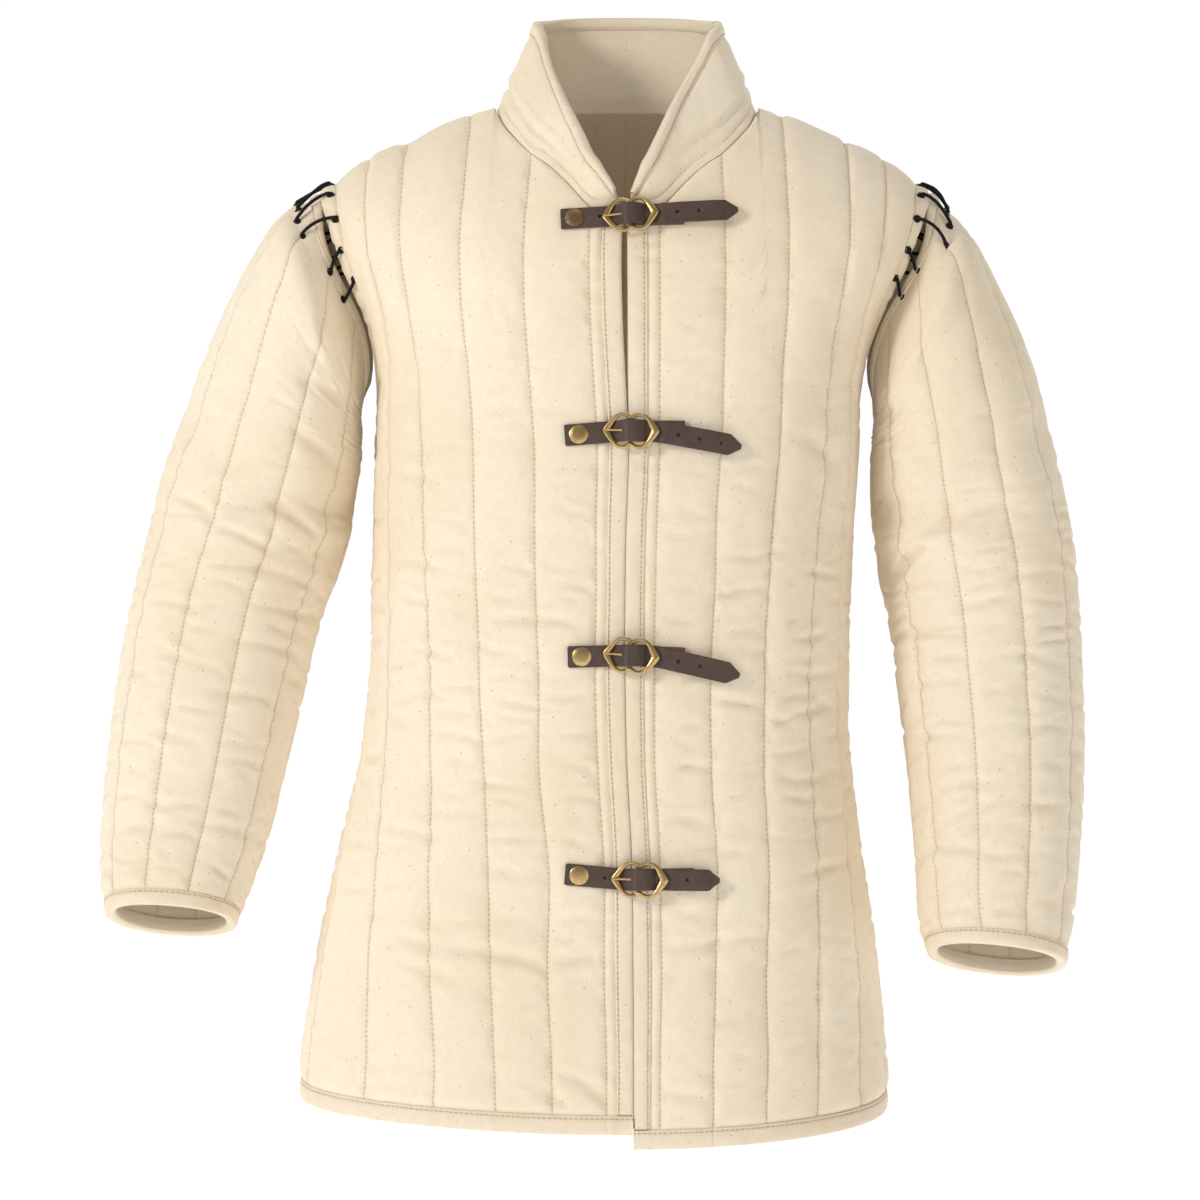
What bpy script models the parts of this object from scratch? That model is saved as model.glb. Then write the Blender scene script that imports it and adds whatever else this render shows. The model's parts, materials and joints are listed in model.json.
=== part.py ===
"""Padded jacket with laced-on sleeves, a standing collar and four buckled straps.

Metres, +Z up, front towards -Y. The origin is the middle of the neck's base at shoulder level.
Sides are the wearer's own: the wearer's right is at -X.
"""
import math
from collections import namedtuple

import bmesh
import bpy
import numpy as np
from mathutils import Matrix, Vector
from mathutils.bvhtree import BVHTree
from mathutils.geometry import barycentric_transform

# Cloth
WALL = 0.0085             # padded cloth, between two lines of stitching
STITCH_DIP = 0.0035       # how much thinner it is along a line
EDGE_DIP = 0.0035         # how much thinner it is at a cut edge
SEAM_GAP = 0.0003         # between two pieces that are sewn together
TAPE_GAP = 0.0004         # between the cloth and the tape that binds its edge
COLLAR_TAPE_GAP = 0.0010  # the same where the collar's edge twists at its ends
BINDING = 0.0013          # thickness of the binding tape
BINDING_WIDTH = 0.013
CUFF_BINDING_WIDTH = 0.010
HEAD_BINDING_WIDTH = 0.008

# Body
FIRST_LINE = 0.022        # from the front edge to the first stitched line
LINE_PITCH = 0.049
CHANNELS = 6              # channels from the front edge to the side seam
SECTION_POWER = 2.5       # squareness of a body section
SHOULDER_START = -0.150   # above this height the chest rounds over to the shoulder seam
SHOULDER_POWER = 2.2
ARMHOLE_TOP_RADIUS = 0.245
UNDERARM_Z = -0.232
COLLAR_CENTRE_X = 0.0055
LOWER_ROWS = 9            # from above the hem's binding to the underarm
UPPER_ROWS = 6            # from the underarm to the neckline or the shoulder seam
FIRST_ROW = 0.050         # height of the first row above the hem's binding
BEND_SHARE = 0.58         # columns further round than this lean in to follow the armhole

BodySection = namedtuple("BodySection", "z centre half_width front back pitch front_edge half_opening")
BODY = [
    BodySection(-0.810, -0.0197, 0.2370, 0.150, 0.142, 0.0410, 0.0112, 0.0021),
    BodySection(-0.740, -0.0188, 0.2335, 0.150, 0.141, 0.0415, 0.0112, 0.0021),
    BodySection(-0.668, -0.0170, 0.2238, 0.149, 0.138, 0.0425, 0.0108, 0.0021),
    BodySection(-0.588, -0.0144, 0.2096, 0.147, 0.131, 0.0435, 0.0100, 0.0021),
    BodySection(-0.508, -0.0100, 0.1956, 0.145, 0.122, 0.0445, 0.0060, 0.0021),
    BodySection(-0.428, -0.0066, 0.1914, 0.143, 0.116, 0.0455, 0.0046, 0.0021),
    BodySection(-0.348, -0.0047, 0.1923, 0.139, 0.116, 0.0470, 0.0052, 0.0021),
    BodySection(-0.268, -0.0010, 0.1935, 0.134, 0.120, 0.0490, 0.0076, 0.0022),
    BodySection(-0.215, 0.0010, 0.1945, 0.130, 0.123, 0.0500, 0.0060, 0.0032),
    BodySection(-0.165, 0.0030, 0.2080, 0.126, 0.126, 0.0510, 0.0048, 0.0042),
    BodySection(-0.115, 0.0050, 0.2380, 0.121, 0.126, 0.0510, 0.0044, 0.0044),
    BodySection(-0.060, 0.0060, 0.2660, 0.115, 0.122, 0.0500, 0.0055, 0.0030),
    BodySection(0.010, 0.0070, 0.2760, 0.105, 0.112, 0.0490, 0.0060, 0.0030),
    BodySection(0.060, 0.0075, 0.2800, 0.098, 0.104, 0.0490, 0.0060, 0.0030),
]

ShoulderPoint = namedtuple("ShoulderPoint", "radius z")
SHOULDER = [
    ShoulderPoint(0.000, 0.036), ShoulderPoint(0.050, 0.027), ShoulderPoint(0.105, 0.005),
    ShoulderPoint(0.125, 0.000), ShoulderPoint(0.165, -0.017), ShoulderPoint(0.206, -0.035),
    ShoulderPoint(0.230, -0.052), ShoulderPoint(0.247, -0.0625), ShoulderPoint(0.280, -0.092),
]

NeckPoint = namedtuple("NeckPoint", "radius front_z back_z")
NECKLINE = [
    NeckPoint(0.000, -0.0845, 0.0125), NeckPoint(0.026, -0.0850, 0.0120),
    NeckPoint(0.045, -0.0650, 0.0110), NeckPoint(0.060, -0.0500, 0.0100),
    NeckPoint(0.075, -0.0390, 0.0085), NeckPoint(0.089, -0.0240, 0.0065),
    NeckPoint(0.099, -0.0100, 0.0050), NeckPoint(0.105, 0.0050, 0.0050),
]

HemPoint = namedtuple("HemPoint", "piece middle side")
HEM = {row.piece: row for row in (
    HemPoint("front_right", -0.7935, -0.7785),
    HemPoint("front_left", -0.8045, -0.7865),
    HemPoint("back", -0.7900, -0.7825),
)}

# Collar: where its lower edge meets the neckline, and where its free edge stands
CollarPoint = namedtuple("CollarPoint", "base_radius face top_radius top_y top_z shift")
COLLAR = [
    CollarPoint(0.0018, "front", 0.0060, -0.1125, -0.0765, -0.0010),
    CollarPoint(0.0120, "front", 0.0140, -0.1130, -0.0600, -0.0025),
    CollarPoint(0.0260, "front", 0.0260, -0.1060, -0.0420, -0.0045),
    CollarPoint(0.0420, "front", 0.0365, -0.0900, -0.0180, -0.0045),
    CollarPoint(0.0570, "front", 0.0460, -0.0700, 0.0050, -0.0045),
    CollarPoint(0.0720, "front", 0.0550, -0.0520, 0.0260, -0.0030),
    CollarPoint(0.0860, "front", 0.0625, -0.0380, 0.0450, -0.0010),
    CollarPoint(0.0960, "front", 0.0680, -0.0250, 0.0610, 0.0010),
    CollarPoint(0.1035, "front", 0.0735, -0.0060, 0.0700, 0.0020),
    CollarPoint(0.1000, "back", 0.0740, 0.0180, 0.0760, 0.0020),
    CollarPoint(0.0850, "back", 0.0640, 0.0420, 0.0800, 0.0010),
    CollarPoint(0.0620, "back", 0.0470, 0.0580, 0.0830, 0.0000),
    CollarPoint(0.0320, "back", 0.0250, 0.0660, 0.0845, 0.0000),
    CollarPoint(0.0000, "back", 0.0000, 0.0680, 0.0850, 0.0000),
]
COLLAR_EDGE = 0.009
COLLAR_BULGE = 0.002
COLLAR_WALL = 0.0055

# Sleeves: outer and inner point of each section, as seen from the front
SleeveSection = namedtuple("SleeveSection", "outer_x outer_z inner_x inner_z centre_y half_depth")
SLEEVES = {
    "right": [
        SleeveSection(0.2700, -0.0815, 0.2050, -0.2410, 0.003, 0.0800),
        SleeveSection(0.3000, -0.1280, 0.2045, -0.2520, 0.002, 0.0830),
        SleeveSection(0.3280, -0.1880, 0.2045, -0.2640, 0.001, 0.0830),
        SleeveSection(0.3430, -0.2280, 0.2050, -0.2800, 0.000, 0.0810),
        SleeveSection(0.3625, -0.2830, 0.2105, -0.3200, -0.002, 0.0800),
        SleeveSection(0.3735, -0.3280, 0.2185, -0.3570, -0.005, 0.0790),
        SleeveSection(0.3855, -0.3800, 0.2355, -0.4020, -0.011, 0.0760),
        SleeveSection(0.3945, -0.4320, 0.2470, -0.4520, -0.022, 0.0730),
        SleeveSection(0.4010, -0.4900, 0.2600, -0.5120, -0.037, 0.0690),
        SleeveSection(0.4055, -0.5500, 0.2740, -0.5720, -0.053, 0.0630),
        SleeveSection(0.4055, -0.6050, 0.2900, -0.6210, -0.068, 0.0570),
        SleeveSection(0.4010, -0.6330, 0.2970, -0.6400, -0.076, 0.0530),
    ],
    "left": [
        SleeveSection(0.2815, -0.0960, 0.2040, -0.2420, 0.003, 0.0800),
        SleeveSection(0.3055, -0.1400, 0.2030, -0.2530, 0.002, 0.0830),
        SleeveSection(0.3270, -0.1880, 0.2020, -0.2640, 0.001, 0.0830),
        SleeveSection(0.3415, -0.2360, 0.2015, -0.2790, 0.000, 0.0810),
        SleeveSection(0.3545, -0.2930, 0.2015, -0.3190, -0.002, 0.0800),
        SleeveSection(0.3640, -0.3450, 0.2070, -0.3660, -0.005, 0.0790),
        SleeveSection(0.3680, -0.3980, 0.2165, -0.4140, -0.011, 0.0760),
        SleeveSection(0.3690, -0.4470, 0.2215, -0.4590, -0.020, 0.0730),
        SleeveSection(0.3690, -0.5080, 0.2280, -0.5180, -0.034, 0.0690),
        SleeveSection(0.3640, -0.5750, 0.2325, -0.5830, -0.051, 0.0640),
        SleeveSection(0.3565, -0.6350, 0.2345, -0.6370, -0.066, 0.0590),
        SleeveSection(0.3500, -0.6730, 0.2400, -0.6610, -0.076, 0.0550),
    ],
}
SLEEVE_POWER = 2.15
SLEEVE_CHANNELS = 10
SLEEVE_WALL = 0.0080
SLEEVE_STITCH_DIP = 0.0030
SLEEVE_PLACES = (0.0, 0.65, 1.0, 1.5, 2.2, 3.0, 3.8, 4.5, 5.1, 5.6, 6.2, 7.2, 8.3, 9.5, 10.7,
                 12.0)            # rows, counted in sections from the upper edge
SLEEVE_TOP_GAP = 0.0042     # between body and sleeve where the lace pulls them together
SLEEVE_UNDERARM_GAP = 0.0095
ElbowCrease = namedtuple("ElbowCrease", "place turn reach slant width depth")
ELBOW_CREASES = [
    ElbowCrease(5.2, 120.0, 55.0, -0.25, 0.40, 0.0070),
    ElbowCrease(4.5, 60.0, 45.0, 0.30, 0.35, 0.0040),
    ElbowCrease(6.1, 140.0, 40.0, -0.20, 0.35, 0.0045),
]

# Lacing
LACE_RADIUS = 0.0014
EYELET_RADIUS = 0.0023
LACE_BARS = 10
LACE_PITCH = 0.0235
EYELET_MARGIN = 0.0045      # from the middle of a hole to the tape
BODY_EYELET_INSET = 0.011
SLEEVE_EYELET_INSET = 0.020
LACE_SLANT = 0.012          # how far the sleeve's end of a bar lies ahead of the body's
LACE_CLEAR = 0.0004
LACE_ROOM = 0.0024          # from the cloth to the middle of the lace where it crosses
HOLE_REACH = 0.022
LACE_SAMPLES = 25           # places looked at along a bar
LACE_LOOK = 0.025           # how far off the cloth the search for it starts
LACE_STEP = 0.002           # closest that two bends of the lace come

# Straps: the buckle's bar, and how far and how steeply each end runs
Strap = namedtuple("Strap", "bar_x bar_z left left_rise tail tail_rise tilt")
STRAPS = {
    "1": Strap(0.0089, -0.0931, 0.0535, -0.002, 0.0825, 0.0050, 4.0),
    "2": Strap(0.0092, -0.2593, 0.0505, -0.003, 0.0840, -0.0115, -2.0),
    "3": Strap(0.0091, -0.4305, 0.0480, -0.001, 0.0825, -0.0150, -5.0),
    "4": Strap(0.0155, -0.6005, 0.0565, 0.004, 0.0610, -0.0010, -2.0),
}
LEATHER = 0.0022
CHAPE_LEATHER = 0.0013
STRAP_WIDTH = 0.0165
TAIL_POINT = 0.009
HOLE_RADIUS = 0.0017
HOLE_PITCH = 0.0165
FRAME_HALF_LENGTH = 0.0200
FRAME_WIRE = 0.0012
BAR_RADIUS = 0.0013
PRONG_WIRE = 0.0007
RIVET_RADIUS = 0.0072
RIVET_INSET = 0.0105      # from the strap's square end
CHAPE_RIVET_RADIUS = 0.0058
RIVET_HEIGHT = 0.0013
RIVET_SIDES = 12
CLEAR = 0.0003
FRAME_SIDES = 6
FRAME_LEFT_HEIGHT = LEATHER + 2 * CLEAR + FRAME_WIRE
FRAME_RIGHT_HEIGHT = 2 * CHAPE_LEATHER + LEATHER + 8 * CLEAR + FRAME_WIRE
BAR_HALF = 0.0102
BAR_HEIGHT = (FRAME_LEFT_HEIGHT + FRAME_RIGHT_HEIGHT) / 2
CHAPE_LENGTH = 0.0410
CHAPE_WIDTH = 0.0160
CHAPE_RIVET = 0.0330

COTTON = (0.83, 0.73, 0.58)
TAPE = (0.80, 0.70, 0.55)
BROWN_LEATHER = (0.055, 0.032, 0.024)
BRASS = (0.48, 0.34, 0.16)
BLACK_CORD = (0.012, 0.011, 0.011)


def smooth(rows, key, field, at):
    """A column of a table at any place of its key column, by a cubic through the rows."""
    xs = np.array([getattr(row, key) for row in rows], float)
    ys = np.array([getattr(row, field) for row in rows], float)
    return cubic(xs, ys, at)


def cubic(xs, ys, at):
    at = np.clip(np.asarray(at, float), xs[0], xs[-1])
    steps = np.diff(xs)
    rises = np.diff(ys) / steps
    slopes = np.concatenate([rises[:1], (rises[:-1] * steps[1:] + rises[1:] * steps[:-1])
                             / (steps[1:] + steps[:-1]), rises[-1:]])
    i = np.clip(np.searchsorted(xs, at, side="right") - 1, 0, len(steps) - 1)
    h = steps[i]
    t = (at - xs[i]) / h
    return ((1 + 2 * t) * (1 - t) ** 2 * ys[i] + t * (1 - t) ** 2 * h * slopes[i]
            + t * t * (3 - 2 * t) * ys[i + 1] + t * t * (t - 1) * h * slopes[i + 1])


def body(field, z):
    return smooth(BODY, "z", field, z)


def shoulder_z(radius):
    return smooth(SHOULDER, "radius", "z", radius)


def unit(vectors):
    return vectors / np.linalg.norm(vectors, axis=-1, keepdims=True)


def section_angle(arc, width, depth):
    """Angle on a rounded-square section at which the arc from its middle has this length."""
    angles = np.linspace(0.0, math.pi / 2, 129)
    s, c = np.sin(angles), np.cos(angles)
    radius = (s ** SECTION_POWER + c ** SECTION_POWER) ** (-1 / SECTION_POWER)
    xs = np.asarray(width)[..., None] * radius * s
    ys = np.asarray(depth)[..., None] * radius * c
    lengths = np.cumsum(np.hypot(np.diff(xs), np.diff(ys)), axis=-1)
    lengths = np.concatenate([np.zeros_like(lengths[..., :1]), lengths], axis=-1)
    flat_arc = np.clip(np.ravel(arc), 0.0, None)
    flat_lengths = lengths.reshape(-1, len(angles))
    found = [np.interp(a, row, angles) for a, row in zip(flat_arc, flat_lengths)]
    return np.reshape(found, np.shape(arc)), lengths[..., -1]


def section_point(angle, width, depth):
    s, c = np.sin(angle), np.cos(angle)
    radius = (np.abs(s) ** SECTION_POWER + np.abs(c) ** SECTION_POWER) ** (-1 / SECTION_POWER)
    return width * radius * s, depth * radius * c


def shoulder_rounding(radius, z):
    top = shoulder_z(radius)
    share = np.clip((z - SHOULDER_START) / (top - SHOULDER_START), 0.0, 1.0)
    return (1 - share ** SHOULDER_POWER) ** (1 / SHOULDER_POWER)


def body_place(face, side, u, z):
    """Radius from the body's middle and depth of the outer surface at share u of the way round."""
    u, z = np.broadcast_arrays(np.asarray(u, float), np.asarray(z, float))
    width, depth = body("half_width", z), body(face, z)
    if face == "front":
        start = side * (body("front_edge", z) - body("centre", z)) + body("half_opening", z)
        full = CHANNELS * body("pitch", z)
    else:
        start = np.zeros_like(z)
        full = CHANNELS * LINE_PITCH * np.ones_like(z)
    whole = section_angle(np.zeros_like(z), width, depth)[1] - start
    arc = start + full * u + (whole - full) * u ** 4
    angle = section_angle(np.abs(arc), width, depth)[0] * np.sign(arc)
    radius, y = section_point(angle, width, depth)
    return radius, y * shoulder_rounding(np.abs(radius), z)


def body_point(face, side, u, z):
    radius, depth = body_place(face, side, u, z)
    x = body("centre", z) + side * radius
    return np.stack([x, -depth if face == "front" else depth, np.broadcast_to(z, x.shape)], axis=-1)


def front_y(x, z):
    """Depth of the front's outer surface at a place seen from the front."""
    radius = abs(x - float(body("centre", z)))
    share = radius / float(body("half_width", z))
    flat = (1 - share ** SECTION_POWER) ** (1 / SECTION_POWER)
    return -float(body("front", z)) * flat * float(shoulder_rounding(radius, z))


def top_of_column(face, side, u, armhole_start):
    """Height at which a column of the body ends, and on which edge."""
    if u > armhole_start:
        turn = math.acos(1 - (u - armhole_start) / (1 - armhole_start))
        high = float(shoulder_z(ARMHOLE_TOP_RADIUS))
        return UNDERARM_Z + (high - UNDERARM_Z) * (1 - math.sin(turn)), "armhole"
    low, high = SHOULDER_START, 0.03
    column = "front_z" if face == "front" else "back_z"
    for _ in range(40):
        z = (low + high) / 2
        radius = abs(float(body_place(face, side, u, z)[0]))
        on_neck = radius < NECKLINE[-1].radius + 0.0005
        limit = float(smooth(NECKLINE, "radius", column, radius) if on_neck else shoulder_z(radius))
        low, high = (z, high) if z < limit else (low, z)
    return z, "neck" if on_neck else "shoulder"


def armhole_share(face, side):
    """Share of the way round at which the shoulder seam meets the armhole."""
    low, high = 0.5, 1.0
    z = float(shoulder_z(ARMHOLE_TOP_RADIUS))
    for _ in range(40):
        u = (low + high) / 2
        if float(body_place(face, side, u, z)[0]) < ARMHOLE_TOP_RADIUS:
            low = u
        else:
            high = u
    return u


def neck_share(face, side):
    """Share of the way round at which the shoulder seam meets the collar."""
    low, high = 0.1, 0.7
    end = NECKLINE[-1]
    for _ in range(40):
        u = (low + high) / 2
        if float(body_place(face, side, u, end.front_z)[0]) < end.radius:
            low = u
        else:
            high = u
    return low


def body_columns(face, side):
    """Shares of the way round at which the columns stand, and the dip of each."""
    full = CHANNELS * LINE_PITCH
    first = FIRST_LINE if face == "front" else 0.0
    lines = [(first + k * LINE_PITCH) / full for k in range(CHANNELS)]
    columns = {share: STITCH_DIP for share in lines}
    for a, b in zip(lines, lines[1:]):
        columns[(a + b) / 2] = 0.0
    neck = neck_share(face, side)
    columns = {share: dip for share, dip in columns.items() if abs(share - neck) > 0.02}
    columns[neck] = 0.001
    if face == "front":
        columns[0.0] = EDGE_DIP
        columns[BINDING_WIDTH / full] = EDGE_DIP
    else:
        columns[(lines[-1] + 1) / 2] = 0.0
    columns[1.0] = STITCH_DIP
    return sorted(columns.items())


def straight_column(face, side, u, bottom, top):
    """Heights of the rows up one column: even below the underarm, evenly spaced arcs above it."""
    lower = np.linspace(bottom + FIRST_ROW, UNDERARM_Z, LOWER_ROWS)
    turn = np.linspace(0.0, math.pi / 2, 181)
    zs = UNDERARM_Z + (top - UNDERARM_Z) * np.sin(turn)
    points = body_point(face, side, np.full_like(zs, u), zs)
    lengths = np.concatenate([[0.0], np.cumsum(np.linalg.norm(np.diff(points, axis=0), axis=1))])
    upper = np.interp(np.linspace(0, lengths[-1], UPPER_ROWS + 1)[1:], lengths, zs)
    return np.concatenate([[bottom, bottom + BINDING_WIDTH], lower, upper])


def armhole_path(face, side):
    """Shares and heights of the rows up the armhole's edge, from under the arm to the shoulder."""
    start = armhole_share(face, side)
    high = float(shoulder_z(ARMHOLE_TOP_RADIUS))
    turn = np.linspace(math.pi / 2, 0.0, 181)
    us = start + (1 - start) * (1 - np.cos(turn))
    zs = UNDERARM_Z + (high - UNDERARM_Z) * (1 - np.sin(turn))
    points = body_point(face, side, us, zs)
    lengths = np.concatenate([[0.0], np.cumsum(np.linalg.norm(np.diff(points, axis=0), axis=1))])
    places = np.linspace(0, lengths[-1], UPPER_ROWS + 1)[1:]
    return np.interp(places, lengths, us), np.interp(places, lengths, zs)


def body_grid(face, side, columns):
    """Share and height of every point of a panel, and the kind of edge at each column's top."""
    piece = "back" if face == "back" else ("front_right" if side < 0 else "front_left")
    start = armhole_share(face, side)
    hem = HEM[piece]
    arm_us, arm_zs = armhole_path(face, side)
    all_us, all_zs, ends = [], [], []
    for u, _ in columns:
        bottom = hem.middle + (hem.side - hem.middle) * u * u
        outward = max(0.0, (u - BEND_SHARE) / (1 - BEND_SHARE))
        top_u = min(u, BEND_SHARE) + outward * (start - BEND_SHARE)
        top, end = top_of_column(face, side, top_u, start)
        guide = straight_column(face, side, min(top_u, start), bottom, top)
        us = np.full(len(guide), u)
        if outward > 0:
            inner = straight_column(face, side, BEND_SHARE, bottom,
                                    top_of_column(face, side, BEND_SHARE, start)[0])
            upper = slice(-UPPER_ROWS, None)
            us[upper] = (1 - outward) * BEND_SHARE + outward * arm_us
            blend = (1 - outward) * inner[upper] + outward * arm_zs
            guide[upper] = UNDERARM_Z + (blend - UNDERARM_Z) * (top - UNDERARM_Z) / (blend[-1] - UNDERARM_Z)
        all_us.append(us)
        all_zs.append(guide)
        ends.append("armhole" if u == 1.0 else end)
    return np.array(all_us).T, np.array(all_zs).T, ends


def body_normals(face, side, us, zs):
    """Unit normals of the body's outer surface, from small steps round it and down it."""
    step = 1e-4
    ahead, behind = np.minimum(us + step, 1.0), us - step
    around = body_point(face, side, ahead, zs) - body_point(face, side, behind, zs)
    down = body_point(face, side, us, zs - step) - body_point(face, side, us, zs)
    normals = unit(np.cross(around, down))
    points = body_point(face, side, us, zs)
    axis = np.array([0.0, 0.0, -0.45])
    flip = np.sum((points - axis) * normals, axis=-1, keepdims=True) < 0
    return np.where(flip, -normals, normals)


def grid_normals(points, outward):
    """Unit normals of a grid of points, turned to point away from a place inside."""
    along = np.gradient(points, axis=0)
    across = np.gradient(points, axis=1)
    normals = unit(np.cross(along, across))
    if np.sum((points - outward) * normals) < 0:
        normals = -normals
    return normals


def collar_rise(face, side):
    """Direction in which the collar stands, and the neckline's own direction, by radius."""
    rows = [row for row in COLLAR if row.face == face]
    rows = sorted(rows, key=lambda row: row.base_radius)
    radii = np.array([row.base_radius for row in rows])
    rises = []
    for row in rows:
        base = neck_point(row, side)
        rises.append(unit(collar_top(row, side) - base))
    rises = np.array(rises)

    def rise(radius):
        radius = np.clip(radius, radii[0], radii[-1])
        return unit(np.array([np.interp(radius, radii, rises[:, k]) for k in range(3)]))
    return rise


def neck_point(row, side):
    column = "front_z" if row.face == "front" else "back_z"
    z = float(smooth(NECKLINE, "radius", column, row.base_radius))
    width, depth = float(body("half_width", z)), float(body(row.face, z))
    flat = (1 - (row.base_radius / width) ** SECTION_POWER) ** (1 / SECTION_POWER)
    y = depth * flat * float(shoulder_rounding(row.base_radius, z))
    return np.array([COLLAR_CENTRE_X + side * row.base_radius, -y if row.face == "front" else y, z])


def collar_top(row, side):
    return np.array([COLLAR_CENTRE_X + row.shift + side * row.top_radius, row.top_y, row.top_z])


def make_object(name, mesh, material):
    mesh.validate()
    obj = bpy.data.objects.new(name, mesh)
    obj.data.materials.append(material)
    bpy.context.scene.collection.objects.link(obj)
    return obj


def mesh_from(name, vertices, faces, smooth_angle=60.0):
    """One closed mesh with its faces turned outwards."""
    mesh = bpy.data.meshes.new(name)
    mesh.from_pydata([tuple(float(c) for c in v) for v in vertices], [], faces)
    bm = bmesh.new()
    bm.from_mesh(mesh)
    bmesh.ops.recalc_face_normals(bm, faces=bm.faces)
    if bm.calc_volume(signed=True) < 0:
        bmesh.ops.reverse_faces(bm, faces=bm.faces)
    bm.to_mesh(mesh)
    bm.free()
    mesh.shade_smooth()
    mesh.set_sharp_from_angle(angle=math.radians(smooth_angle))
    return mesh


def split(a, b, c, d):
    """A four-sided face as two triangles that share the side from its first corner."""
    return [(a, b, c), (a, c, d)]


def wall(name, outer, inner, closed=False):
    """Closed wall between two grids of points; closed joins the last column to the first."""
    rows, columns = outer.shape[:2]
    vertices = np.concatenate([outer.reshape(-1, 3), inner.reshape(-1, 3)])
    inside = rows * columns
    faces = []
    last = columns if closed else columns - 1
    for r in range(rows - 1):
        for c in range(last):
            d = (c + 1) % columns
            a = (r * columns + c, r * columns + d, (r + 1) * columns + d, (r + 1) * columns + c)
            faces += split(*a)
            faces += split(*(inside + i for i in a))
    for r in (0, rows - 1):
        for c in range(last):
            a, b = r * columns + c, r * columns + (c + 1) % columns
            faces += split(a, b, inside + b, inside + a)
    if not closed:
        for c in (0, columns - 1):
            for r in range(rows - 1):
                a, b = r * columns + c, (r + 1) * columns + c
                faces += split(a, b, inside + b, inside + a)
    return mesh_from(name, vertices, faces)


def sweep(name, rings, closed=False, smooth_angle=50.0):
    """Solid through a row of rings with the same number of points each."""
    rings = np.array(rings)
    count, points = rings.shape[:2]
    vertices = rings.reshape(-1, 3)
    faces = []
    for r in range(count if closed else count - 1):
        s = (r + 1) % count
        for p in range(points):
            q = (p + 1) % points
            faces.append((r * points + p, r * points + q, s * points + q, s * points + p))
    if not closed:
        faces.append(tuple(range(points)))
        faces.append(tuple((count - 1) * points + p for p in reversed(range(points))))
    return mesh_from(name, vertices, faces, smooth_angle)


def binding_mesh(name, edge, seam, closed=False, edge_first=True, near=TAPE_GAP):
    """Tape folded round an edge: over it, across it and back under it.

    The edge and the seam are each given as outer points, inner points and normals. Its faces
    are split the same way as the wall's, whose grid starts or ends at the edge.
    """
    edge_outer, edge_inner, edge_normals = edge
    seam_outer, seam_inner, seam_normals = seam
    if closed:
        tangent = unit(np.roll(edge_outer, -1, axis=0) - np.roll(edge_outer, 1, axis=0))
    else:
        tangent = unit(np.gradient(edge_outer, axis=0))
    away = edge_outer - seam_outer
    away = unit(away - tangent * np.sum(away * tangent, axis=1, keepdims=True))
    far = near + BINDING
    profile = np.stack([
        seam_outer + seam_normals * near, seam_outer + seam_normals * far,
        edge_outer + (edge_normals + away) * far, edge_inner + (away - edge_normals) * far,
        seam_inner - seam_normals * far, seam_inner - seam_normals * near,
        edge_inner + (away - edge_normals) * near, edge_outer + (edge_normals + away) * near,
    ], axis=1)
    count, points = profile.shape[:2]
    vertices = profile.reshape(-1, 3)
    flipped = {0: False, 1: edge_first, 2: False, 3: not edge_first, 4: False,
               5: edge_first, 6: True, 7: not edge_first}     # by side of the profile
    faces = []
    for r in range(count if closed else count - 1):
        s = (r + 1) % count
        for p in range(points):
            q = (p + 1) % points
            near_p, near_q, far_q, far_p = (r * points + p, r * points + q, s * points + q,
                                            s * points + p)
            if flipped[p]:
                faces += split(near_q, far_q, far_p, near_p)
            else:
                faces += split(near_p, near_q, far_q, far_p)
    if not closed:
        for r in (0, count - 1):
            first = r * points
            for quad in ((0, 1, 2, 7), (7, 2, 3, 6), (6, 3, 4, 5)):
                faces.append(tuple(first + k for k in quad))
    return mesh_from(name, vertices, faces)


class Panel:
    """Outer and inner points of one cut piece, and what its edges are."""

    def __init__(self, outer, inner, normals, ends):
        self.outer, self.inner, self.normals, self.ends = outer, inner, normals, ends


def body_panel(face, side):
    columns = body_columns(face, side)
    us, zs, ends = body_grid(face, side, columns)
    points = body_point(face, side, us, zs)
    normals = body_normals(face, side, us, zs)
    set_seam_normals(points, normals, ends, face, side)
    dip = np.broadcast_to([dip for _, dip in columns], zs.shape).copy()
    dip[:2] = np.maximum(dip[:2], EDGE_DIP)
    dip[-1] = EDGE_DIP
    outer = points - normals * dip[..., None]
    inner = points - normals * WALL
    rise = collar_rise(face, side)
    for c in range(ends.count("neck")):
        mitre_neck(outer, inner, normals, c, rise, ends.count("neck") - 1)
    trim_seams(outer, inner, ends, face)
    return Panel(outer, inner, normals, ends)


def set_seam_normals(points, normals, ends, face, side):
    """At the side and shoulder seams the surface runs straight fore and aft."""
    flat = np.array([1.0, 0.0, 1.0])
    side_seam = slice(0, LOWER_ROWS + 2)
    normals[side_seam, -1] = unit(normals[side_seam, -1] * flat)
    for c in range(ends.count("neck") - 1, len(ends)):
        normals[-1, c] = shoulder_normal(points[-1, c], side)
    if face == "back":
        normals[:, 0] = unit(normals[:, 0] * np.array([0.0, 1.0, 1.0]))


def shoulder_normal(point, side):
    radius = abs(point[0] - float(body("centre", point[2])))
    step = 0.002
    slope = float(shoulder_z(radius + step) - shoulder_z(radius - step)) / (2 * step)
    return unit(np.array([-side * slope, 0.0, 1.0]))


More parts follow.
